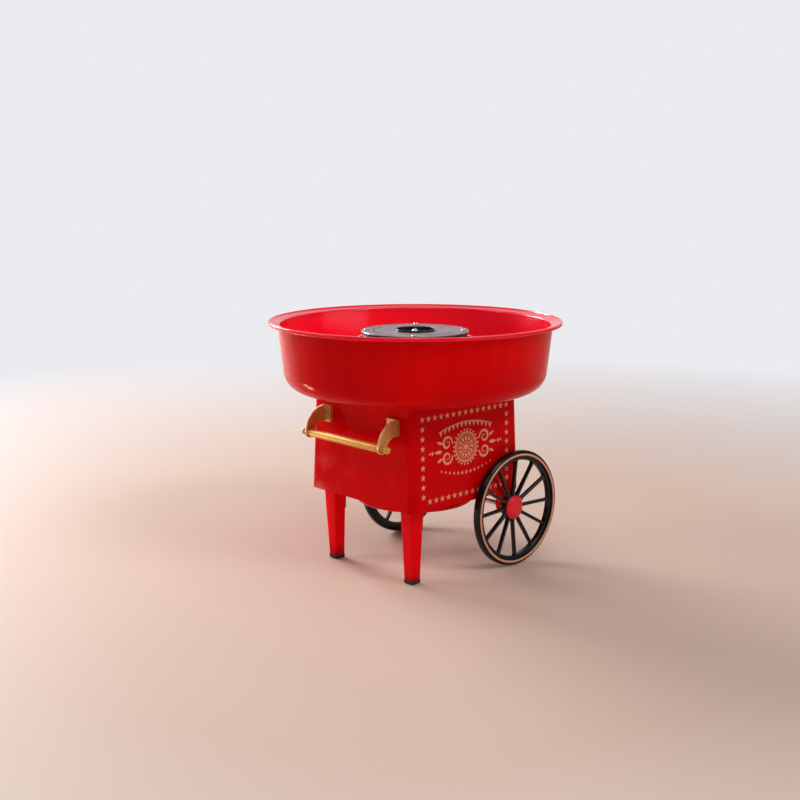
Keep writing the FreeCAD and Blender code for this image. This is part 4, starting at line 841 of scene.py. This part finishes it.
def cap_outline(wheels):
    """Shallow dome with a fine raised edge and a skirt that fills the hub's recess."""
    radius = cap_high.z - axle.z
    seat = wheel_high.y - wheels.dish
    edge = wheels.cap_edge
    skirt_r = wheels.recess_radius - 0.00005
    return rounded_line([
        (0.0, cap_high.y, 0.0), (radius * 0.62, cap_high.y - fine, 0.008),
        (radius - edge * 1.1, seat + edge * 1.6, wide), (radius - edge * 0.7, seat + edge * 1.5, soft),
        (radius, seat + edge * 1.1, wide), (radius, seat, fine),
        (skirt_r, seat, 0.0), (skirt_r, cap_low.y, fine),
        (skirt_r - edge, cap_low.y, fine), (skirt_r - edge, seat + edge / 2, 0.0),
        (0.0, seat + edge, 0.0),
    ], finest=6)


def add_spokes(shape, wheels, side):
    """Spokes that lean outwards and swell where they run into hub and rim."""
    inner_r = wheels.radius - wheels.rim_width
    hub_end, rim_end = spoke_places(wheels)
    stations = [(wheels.neck_radius, 1.30), (wheels.hub_radius + 0.0006, 1.22),
                (wheels.hub_radius + 0.0028, 1.05), (inner_r * 0.6, 1.0), (inner_r - 0.0030, 0.98),
                (inner_r - 0.0009, 1.10), (inner_r + 0.0010, 1.28)]
    run = inner_r + wheels.rim_width / 2 - wheels.neck_radius
    for number in range(wheels.spokes):
        flat = heading(math.tau * number / wheels.spokes)
        loops = []
        for reach, swell in stations:
            middle = hub_end + (rim_end - hub_end) * (reach - wheels.neck_radius) / run
            section = rounded_line(box_corners(wheels.spoke_width / 2 * swell, wheels.spoke_depth / 2,
                                               wheels.spoke_round), finest=30)
            loops.append([hub_middle + Vector((flat.x * reach - flat.y * u, side * (middle + v),
                                               flat.y * reach + flat.x * u)) for u, v in section])
        add_lofted(shape, loops)


class CART_OT_wheels(bpy.types.Operator):
    """Both wheels: tyre, spokes and hub, the metallic ring and the domed cap"""
    bl_idname = "cart.wheels"
    bl_label = "Wheels"

    def execute(self, context):
        wheels = context.scene.cart_wheels
        for name, side in sides.items():
            outward = (0, side, 0)
            body = name + "_wheel"
            shape = bmesh.new()
            add_turned(shape, rim_outline(wheels), hub_middle, outward, 192)
            add_turned(shape, hub_outline(wheels), hub_middle, outward, 96)
            add_spokes(shape, wheels, side)
            new_piece(name + "_spoked_wheel", shape, body, "black_gloss", "black_gloss",
                      [name + "_wheel"])
            turned_piece(name + "_metallic_ring", ring_outline(wheels), hub_middle, outward, 192,
                         body, "gold_print", "gold_stripe", [name + "_wheel_stripe"])
            turned_piece(name + "_domed_cap", cap_outline(wheels), hub_middle, outward, 128,
                         body, "cap_red", "red_satin", [name + "_hub_cap"])
        return {"FINISHED"}


# ---------------------------------------------------------------- push handle

def flange_low(handle):
    return bar.z + handle.root_rise * handle.fan_tip


def flange_face(handle):
    return -(panel_half(flange_low(handle)) + handle.flange)


def fan_curves(handle):
    """Crown, tip and hollow of the bracket plate in the X-Z plane."""
    low = flange_low(handle)
    face = flange_face(handle)
    front = Vector((bar.x - handle.fan_tip, bar.z))
    back = Vector((bar.x + handle.fan_tip, bar.z))
    reach = -bar.x - panel_half(bar.z)
    bulge = Vector((front.x, fan_high.z)).lerp(Vector((face, bar.z)), handle.crown_in)
    sag = Vector((bar.x + reach * handle.hollow_in, low - handle.fan_tip * handle.hollow_down))
    crown = arc_through(Vector((face, fan_high.z)), bulge, front, 40)
    tip = arc_through(front, Vector((bar.x, bar.z - handle.fan_tip)), back, 20)
    return crown, tip, arc_through(back, sag, Vector((face, low)), 24)


def add_rope(shape, handle, line, y, strands=3, around=24):
    """Twisted strands along a line in the X-Z plane at y."""
    spots = [Vector((u, y, v)) for u, v in line]
    travelled = 0.0
    loops = []
    for index, spot in enumerate(spots):
        if index:
            travelled += (spot - spots[index - 1]).length
        ahead = (spots[min(index + 1, len(spots) - 1)] - spots[max(index - 1, 0)]).normalized()
        twist = math.tau * travelled / handle.rope_pitch
        loop = []
        for step in range(around):
            bearing = math.tau * step / around
            relief = handle.rope_relief * (1 - math.cos(strands * (bearing - twist)))
            arm = heading(bearing) * handle.rope_radius * (1 - relief)
            loop.append(spot + Vector((-ahead.z * arm.x, arm.y, ahead.x * arm.x)))
        loops.append(loop)
    add_lofted(shape, loops)


def handle_bracket(handle, name, side):
    """Fan shaped plate with a raised border and a rope along its curved edge."""
    crown, tip, hollow = fan_curves(handle)
    edge = moved_in(crown, handle.rope_radius)
    inner = handle.fan_inner
    outer = inner + handle.fan_thickness
    root = -panel_half(fan_high.z)
    outline = edge[:-2] + tip[2:] + hollow[1:]
    outline += [Vector((root, flange_low(handle))), Vector((root, outline[0].y))]
    shape = bmesh.new()
    add_plate(shape, outline, inner, outer, lambda x, z, y: Vector((x, side * y, z)))
    bmesh.ops.recalc_face_normals(shape, faces=shape.faces)
    faces = [face for face in shape.faces if len(face.verts) > 8]
    for thickness, depth in ((handle.border_width, 0.0), (handle.border_height, -handle.border_height)):
        bmesh.ops.inset_region(shape, faces=faces, thickness=thickness, depth=depth)
    new_piece(name + "_fan_bracket", shape, "cart", "gold_plastic", "gold_plastic",
              [name + "_handle_bracket"])
    shape = bmesh.new()
    add_rope(shape, handle, finer(edge, fine), side * (inner + outer) / 2)
    new_piece(name + "_fan_rope", shape, "cart", "rope_gold", "gold_plastic")


def handle_flange(handle, name, side):
    """Plate behind the fan, with a recess for its screw."""
    face = flange_face(handle)
    seat = face + handle.seat_depth
    low = flange_low(handle)
    half_y = (fan_high.y - fan_low.y) / 2
    half_z = (fan_high.z - low) / 2
    middle_y = (fan_high.y + fan_low.y) / 2
    middle_z = (low + fan_high.z) / 2
    corners = box_corners(half_y, half_z, handle.flange_round)
    start = (-half_y, fine + handle.flange_round - half_z, 0.0)
    rim = finer(rounded_line(corners + [start], finest=20), handle.flange_round)
    screw = Vector((handle.screw_place - middle_y, screw_z - middle_z))
    hole = [screw + (spot - screw).normalized() * handle.seat_radius for spot in rim]

    def place(u, v, x):
        return Vector((x, side * (middle_y + u), middle_z + v))

    shape = bmesh.new()
    add_band(shape, hole, rim, seat, face, place, closed=True)
    add_plate(shape, rim, -panel_half(fan_high.z), seat, place)
    piece = new_piece(name + "_bracket_flange", shape, "cart", "gold_plastic", "gold_plastic",
                      [name + "_handle_bracket"])
    bevel = piece.modifiers.new("soft_edges", "BEVEL")
    bevel.width = fine
    bevel.segments = 2
    bevel.limit_method = "ANGLE"
    bevel.angle_limit = math.radians(50)
    bevel.harden_normals = True


def bar_outline(handle):
    """Grip with a groove near each end and a thin spigot through each bracket."""
    half = handle.fan_inner
    groove = half - handle.bar_groove
    radius = handle.bar_radius
    floor_r = radius - 0.0005
    end = [(0.0, bar_high.y, 0.0), (handle.spigot_radius, bar_high.y, soft),
           (handle.spigot_radius, half, 0.0), (radius, half, 0.0005), (radius, groove + wide, fine),
           (floor_r, groove + soft, 0.0001), (floor_r, groove - soft, 0.0001),
           (radius, groove - wide, fine)]
    return rounded_line([(r, -y, rounding) for r, y, rounding in end] + end[::-1], finest=15)


class CART_OT_handle(bpy.types.Operator):
    """Push handle: grooved grip between two fan shaped brackets with rope edges"""
    bl_idname = "cart.handle"
    bl_label = "Push handle"

    def execute(self, context):
        handle = context.scene.cart_handle
        turned_piece("push_bar", bar_outline(handle), Vector((bar.x, 0, bar.z)), (0, 1, 0), 64,
                     "cart", "gold_plastic", "gold_plastic", ["handle_bar"])
        for name, side in sides.items():
            handle_bracket(handle, name, side)
            handle_flange(handle, name, side)
        return {"FINISHED"}


# ---------------------------------------------------------------- spinning head

def disc_outline(head):
    """Disc with a chamfered rim and two shallow turned grooves."""
    top = disc_high.z
    rim_r = disc_high.x
    hole = head.hole_radius
    grooves = [(middle + shift, top - depth, 0.0) for middle in (rim_r - 0.0023, hole + 0.0031)
               for shift, depth in ((soft, 0.0), (0.0, head.groove), (-soft, 0.0))]
    return rounded_line([(hole, disc_low.z, 0.0), (rim_r, disc_low.z, 0.0007),
                         (rim_r, top - wide, soft), (rim_r - 0.0007, top, soft), *grooves,
                         (hole + wide, top, fine), (hole, top - 0.0005, fine)], finest=15)


def lip_outline(head):
    """Upright wall of the funnel's lip, just inside the disc's hole."""
    outer = head.hole_radius - head.groove / 2
    inner = outer - head.lip_wall
    low = disc_high.z - head.lip_wall
    top = disc_high.z + head.lip_rise
    edge = head.lip_wall * 0.3
    return rounded_line([(inner, low, 0.0), (outer, low, 0.0), (outer, top, edge), (inner, top, edge)])


def add_arrow(film, head, start, sweep, steps=24):
    """Curved arrow that shows which way the head turns; start and sweep in degrees."""
    half = head.arrow_width / 2
    arms = [heading(math.radians(start + sweep * step / steps)) for step in range(steps + 1)]
    film.band(*[[arm * (head.arrow_radius + shift) for arm in arms] for shift in (-half, half)])
    arm = arms[-1]
    along = Vector((-arm.y, arm.x)) * (1 if sweep > 0 else -1)
    film.plate([arm * (head.arrow_radius - half * 3), arm * (head.arrow_radius + half * 3),
                arm * head.arrow_radius + along * half * 5])


class CART_OT_head(bpy.types.Operator):
    """Spinning disc with turned grooves, rotation arrows and the funnel's lip"""
    bl_idname = "cart.head"
    bl_label = "Spinning head"

    def execute(self, context):
        head = context.scene.cart_head
        disc = turned_piece("upper_head_disc", disc_outline(head), origin, up, 224,
                            "head", "head_coating", "head_black", ["head_disc"])
        disc.data.materials.append(finish("head_black"))
        for face in disc.data.polygons:
            face.material_index = 0 if face.normal.z > 0.5 else 1
        film = Film(-0.00005, head.arrow_film, lambda x, y, z: Vector((x, y, disc_high.z + z)))
        for start, sweep in ((165.0, -60.0), (285.0, -38.0)):
            add_arrow(film, head, start, sweep)
        new_piece("rotation_arrows", film.shape, "head", "black_matte", "black_matte")
        turned_piece("funnel_lip", lip_outline(head), origin, up, 180, "head", "head_black", "head_black")
        return {"FINISHED"}


# ---------------------------------------------------------------- print on the side panels

def star_outline(centre, radius):
    """Five pointed star that stands on two points."""
    return [centre + heading(math.pi / 2 + math.pi * step / 5) * (radius * (0.38 if step % 2 else 1))
            for step in range(10)]


def star_spots(art):
    """Middles of the border's stars: a row above, a row below and a column at each end."""
    last = art.row_stars - 1
    columns = [(art.wheel_side + art.handle_side) / last * number - art.handle_side
               for number in range(art.row_stars)]
    spots = [Vector((x, art.high_row)) for x in columns]
    spots += [Vector((x, art.low_row)) for x in columns[1:last]]
    spots += [Vector((x, art.high_row - art.column_pitch * number))
              for number in range(1, art.column_stars) for x in (-art.handle_side, art.wheel_side)]
    return spots


def circle(centre, radius, steps=72):
    return [centre + heading(math.tau * step / steps) * radius for step in range(steps)]


def petal(centre, bearing, near, far, width, steps=10):
    """Leaf that points away from centre."""
    out = heading(bearing)
    across = Vector((-out.y, out.x))
    line = []
    for sign in (1, -1):
        for step in range(steps):
            share = step / steps if sign > 0 else 1 - step / steps
            bulge = width / 2 * math.sin(math.pi * share ** 0.8)
            line.append(centre + out * (near + (far - near) * share) + across * bulge * sign)
    return line


def diamond(centre, half_width, half_height):
    return [centre + Vector(arm) for arm in ((half_width, 0), (0, half_height),
                                             (-half_width, 0), (0, -half_height))]


def scroll(centre, size, sign_x, sign_z, steps=64):
    """Inner and outer line of a scroll that winds in and thins towards its middle."""
    lines = ([], [])
    for step in range(steps + 1):
        share = step / steps
        out = heading(math.pi * 1.05 - share * math.tau * 1.45)
        reach = size * (1 - share) ** 0.85 * 0.86 + size * 0.12
        half = size * (0.05 + 0.13 * math.sin(math.pi * min(1.0, share * 1.2 + 0.12)))
        for line, offset in zip(lines, (-half, half)):
            point = out * (reach + offset)
            line.append(centre + Vector((point.x * sign_x, point.y * sign_z)))
    return lines


def add_rosette(film, art, middle):
    """Rings, petals with dots between them, and a beaded edge."""
    radius = art.rosette_radius
    for outside, inside in ((1.0, 0.90), (0.84, 0.80), (0.34, 0.27)):
        film.ring(middle, radius * inside, radius * outside)
    film.plate(circle(middle, radius * 0.19, 40))
    for number in range(art.petals):
        bearing = math.tau * number / art.petals + math.pi / 2
        film.plate(petal(middle, bearing, radius * 0.38, radius * 0.77, radius * 0.20))
        dot = middle + heading(bearing + math.pi / art.petals) * radius * 0.68
        film.plate(circle(dot, radius * 0.05, 16))
    for number in range(art.beads):
        bead = middle + heading(math.tau * (number + 0.5) / art.beads) * radius * 1.12
        film.plate(circle(bead, radius * 0.075, 16))


def hung_spot(art, middle, share, above):
    """Spot on a bow above or below the rosette; share runs from -0.5 to 0.5 along it."""
    radius = art.rosette_radius
    sag = radius * 0.34 * (2 * share) ** 2
    return middle + Vector((radius * 2.45 * 2 * share, above * (radius * 1.66 - sag * 1.3)))


def add_pennants(film, art, middle, steps=60):
    """A string with pennants above the rosette, and a row of diamonds below it."""
    thread = Vector((0, art.rosette_radius * 0.03))
    string = [hung_spot(art, middle, step / steps - 0.5, 1) for step in range(steps + 1)]
    film.band([spot + thread for spot in string], [spot - thread for spot in string])
    shares = [(number + 0.5) / art.pennants - 0.5 for number in range(art.pennants)]
    for share in shares:
        spot = hung_spot(art, middle, share, 1)
        top = [spot + Vector((half * 0.86, -art.rosette_radius * 0.05))
               for half in (-art.pennant / 2, art.pennant / 2)]
        film.plate(top + [spot - Vector((0, art.pennant * 1.05))])
    for share in shares:
        size = art.pennant * (0.36 - 0.30 * abs(share))
        film.plate(diamond(hung_spot(art, middle, share, -1), size * 0.9, size * 1.3))


def add_ornament(film, art):
    """Rosette between four scrolls with leaves, a string of pennants above, diamonds below."""
    middle = Vector(((art.wheel_side - art.handle_side) / 2, art.rosette_height))
    size = art.scroll_size
    beside = art.rosette_radius * 1.24
    add_rosette(film, art, middle)
    add_pennants(film, art, middle)
    for sign_x in (-1, 1):
        for sign_z in (-1, 1):
            centre = middle + Vector((sign_x * (beside + size), sign_z * size * 0.98))
            film.band(*scroll(centre, size, sign_x, sign_z))
            tip = centre + Vector((sign_x * size * 0.95, 0))
            film.plate(petal(tip, math.atan2(sign_z * 0.45, sign_x), 0.0, size * 1.15, size * 0.38))
        base = middle + Vector((sign_x * (beside + size * 2.0), 0))
        film.plate(petal(base, math.atan2(0, sign_x), 0.0, size * 1.5, size * 0.5))
        for reach, share in ((1.85, 0.24), (2.35, 0.17)):
            spot = base + Vector((sign_x * size * reach, 0))
            film.plate(diamond(spot, size * share, size * share * 1.3))


class CART_OT_print(bpy.types.Operator):
    """Star border and fairground rosette printed on both side panels"""
    bl_idname = "cart.print"
    bl_label = "Panel print"

    def execute(self, context):
        art = context.scene.cart_print
        for name, side in sides.items():
            def place(x, z, proud):
                return Vector((x, side * (panel_half(z) + proud), z))

            border = Film(-art.film * 2, art.film, place)
            for spot in star_spots(art):
                border.plate(star_outline(spot, art.star_radius))
            ornament = Film(-art.film * 2, art.film, place)
            add_ornament(ornament, art)
            for label, film in (("_star_border", border), ("_rosette_print", ornament)):
                new_piece(name + label, film.shape, "cart", "gold_print", "gold_stripe")
        return {"FINISHED"}


# ---------------------------------------------------------------- finishes of the frame's own pieces

class CART_OT_finishes(bpy.types.Operator):
    """Gives every piece of the frame its finish"""
    bl_idname = "cart.finishes"
    bl_label = "Finishes"

    def execute(self, context):
        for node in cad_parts.values():
            slot = node.data.materials[0].name.split(".")[0]
            node.data.materials[0] = finish(slot_finishes.get(slot, slot))
        return {"FINISHED"}


# ---------------------------------------------------------------- stage

def add_floor(stage, colours):
    """Pale floor that fades into the surroundings well away from the cart."""
    shape = bmesh.new()
    bmesh.ops.create_circle(shape, cap_ends=True, segments=96, radius=stage.floor_radius)
    floor = link_mesh("floor", shape)
    skin = Surface("floor", colours.floor, 0.6, specular=0.2)
    skin.tint(skin.shades(skin.noise(3.0, 4.0), 0.3, 0.7, colours.floor, 0.985, 1.01))
    fade = skin.spread(skin.vectors("LENGTH", skin.flat()), stage.fade_start, stage.fade_end)
    seen = skin.maths("MULTIPLY", fade, skin.add("LightPath").outputs["Is Camera Ray"])
    glow = skin.add("Emission", {"Color": colours.surround}).outputs[0]
    skin.show("Material Output", skin.mix(seen, skin.shader.outputs[0], glow))
    floor.data.materials.append(skin.material)


def camera_axes(stage):
    """Directions from the cart to the camera and to the right of the picture."""
    right = Vector((math.cos(stage.turn), -math.sin(stage.turn), 0))
    back = Vector((-math.sin(stage.turn), -math.cos(stage.turn), 0)) * math.cos(stage.rise)
    return back + up * math.sin(stage.rise), right


def add_camera(stage):
    back, right = camera_axes(stage)
    data = bpy.data.cameras.new("view_camera")
    data.sensor_width = 36.0
    data.lens = stage.lens
    data.shift_x, data.shift_y = -0.00125, -0.0075      # middle of the picture, off the lens axis
    camera = bpy.data.objects.new("view_camera", data)
    camera.location = up * stage.aim_height - right * stage.aim_shift + back * stage.distance
    camera.rotation_euler = (-back).to_track_quat("-Z", "Y").to_euler()
    bpy.context.collection.objects.link(camera)
    bpy.context.scene.camera = camera


def along_floor(stage, degrees):
    """Direction along the floor, from the camera's own, positive to the right of the picture."""
    back, right = camera_axes(stage)
    turn = math.radians(degrees)
    return Vector((back.x, back.y, 0)).normalized() * math.cos(turn) + right * math.sin(turn)


def add_lamp(name, place, turned, width, height, watts, tint=(1.0, 1.0, 1.0)):
    """Area lamp that the camera doesn't see."""
    data = bpy.data.lights.new(name, "AREA")
    data.shape = "RECTANGLE"
    data.size = width
    data.size_y = height
    data.energy = watts
    data.color = tint
    lamp = bpy.data.objects.new(name, data)
    lamp.location = place
    lamp.rotation_euler = turned
    lamp.visible_camera = False
    bpy.context.collection.objects.link(lamp)


# Bearing from the camera and rise in degrees, distance, then width, height, watts and tint
softboxes = {
    "window_back_left": (-137.0, 20.0, 3.0, 1.5, 1.3, 108.0, (0.96, 0.97, 1.0)),
    "window_left": (-90.0, 34.0, 2.6, 0.8, 0.6, 12.0, (1.0, 0.97, 0.92)),
    "front": (-5.0, 46.0, 2.6, 1.0, 0.7, 7.5),
    "front_right": (50.0, 42.0, 2.6, 0.9, 0.6, 18.0, (0.95, 0.97, 1.0)),
    "window_right": (68.0, 16.0, 2.6, 2.2, 0.9, 7.0, (0.66, 0.80, 1.0)),
    "ceiling": (40.0, 84.0, 2.2, 1.6, 1.6, 9.0),
}


def add_lamps(stage):
    """Soft lamps all round, and a small warm one on the floor for a streak in the bowl's gloss."""
    for name, (bearing, rise, distance, *light) in softboxes.items():
        lift = math.radians(rise)
        direction = along_floor(stage, bearing) * math.cos(lift) + up * math.sin(lift)
        add_lamp(name, up * stage.lamp_aim + direction * distance,
                 (-direction).to_track_quat("-Z", "Y").to_euler(), *light)
    streak = along_floor(stage, -114.0)
    add_lamp("table_glow", along_floor(stage, -100.0) * stage.glow_place + up * stage.glow_height,
             (math.pi, 0.0, math.atan2(streak.y, streak.x) + math.pi / 2),
             width=0.05, height=0.26, watts=0.9, tint=(1.0, 0.86, 0.62))


def add_surroundings(stage, colours):
    """Pale room all round, dimmer behind the camera, as gloss sees it."""
    world = bpy.data.worlds.new("surroundings")
    bpy.context.scene.world = world
    room = Nodes(world)

    def light(tint, strength):
        return room.add("Background", {"Color": tint, "Strength": strength}).outputs[0]

    pale = light(colours.surround, 1.0)
    back = camera_axes(stage)[0]
    facing = room.vectors("DOT_PRODUCT", room.add("TexCoord").outputs["Generated"],
                          (back.x, back.y, 0.0))
    behind = room.spread(facing, -1.0, -0.2, interpolation_type="SMOOTHSTEP")
    path = room.add("LightPath").outputs
    glossy = room.maths("MAXIMUM", path["Is Glossy Ray"], path["Is Transmission Ray"])
    for_gloss = room.mix(behind, pale, light(colours.surround, stage.dim_gloss))
    unseen = room.mix(glossy, light(colours.ambient, stage.ambient), for_gloss)
    room.show("World Output", room.mix(path["Is Camera Ray"], unseen, pale))


class CART_OT_stage(bpy.types.Operator):
    """Pale floor and surroundings, soft lamps and the camera"""
    bl_idname = "cart.stage"
    bl_label = "Stage"

    def execute(self, context):
        stage = context.scene.cart_stage
        colours = context.scene.cart_colours
        context.scene.view_settings.view_transform = "Standard"
        add_floor(stage, colours)
        add_camera(stage)
        add_surroundings(stage, colours)
        add_lamps(stage)
        return {"FINISHED"}


# ---------------------------------------------------------------- panel and registration

operators = (CART_OT_stage, CART_OT_finishes, CART_OT_bowl, CART_OT_head, CART_OT_wheels,
             CART_OT_handle, CART_OT_print)
groups = {"cart_bowl": CartBowl, "cart_wheels": CartWheels, "cart_handle": CartHandle,
          "cart_head": CartHead, "cart_print": CartPrint, "cart_colours": CartColours,
          "cart_stage": CartStage}


class CART_PT_pieces(bpy.types.Panel):
    """Lists the pieces and the sizes and colours that they are made from"""
    bl_idname = "CART_PT_pieces"
    bl_label = "Candy Cart"
    bl_space_type = "VIEW_3D"
    bl_region_type = "UI"
    bl_category = "Candy Cart"

    def draw(self, context):
        for maker in operators:
            self.layout.operator(maker.bl_idname)
        for attribute, group in groups.items():
            box = self.layout.box()
            box.label(text=group.__name__)
            for name in group.__annotations__:
                box.prop(getattr(context.scene, attribute), name)


def register():
    for attribute, group in groups.items():
        bpy.utils.register_class(group)
        setattr(bpy.types.Scene, attribute, PointerProperty(type=group))
    for maker in operators + (CART_PT_pieces,):
        bpy.utils.register_class(maker)


def unregister():
    for maker in operators + (CART_PT_pieces,):
        bpy.utils.unregister_class(maker)
    for attribute, group in groups.items():
        delattr(bpy.types.Scene, attribute)
        bpy.utils.unregister_class(group)


def main():
    register()
    for maker in operators:
        area, action = maker.bl_idname.split(".")
        getattr(getattr(bpy.ops, area), action)()


if __name__ == "__main__":
    main()
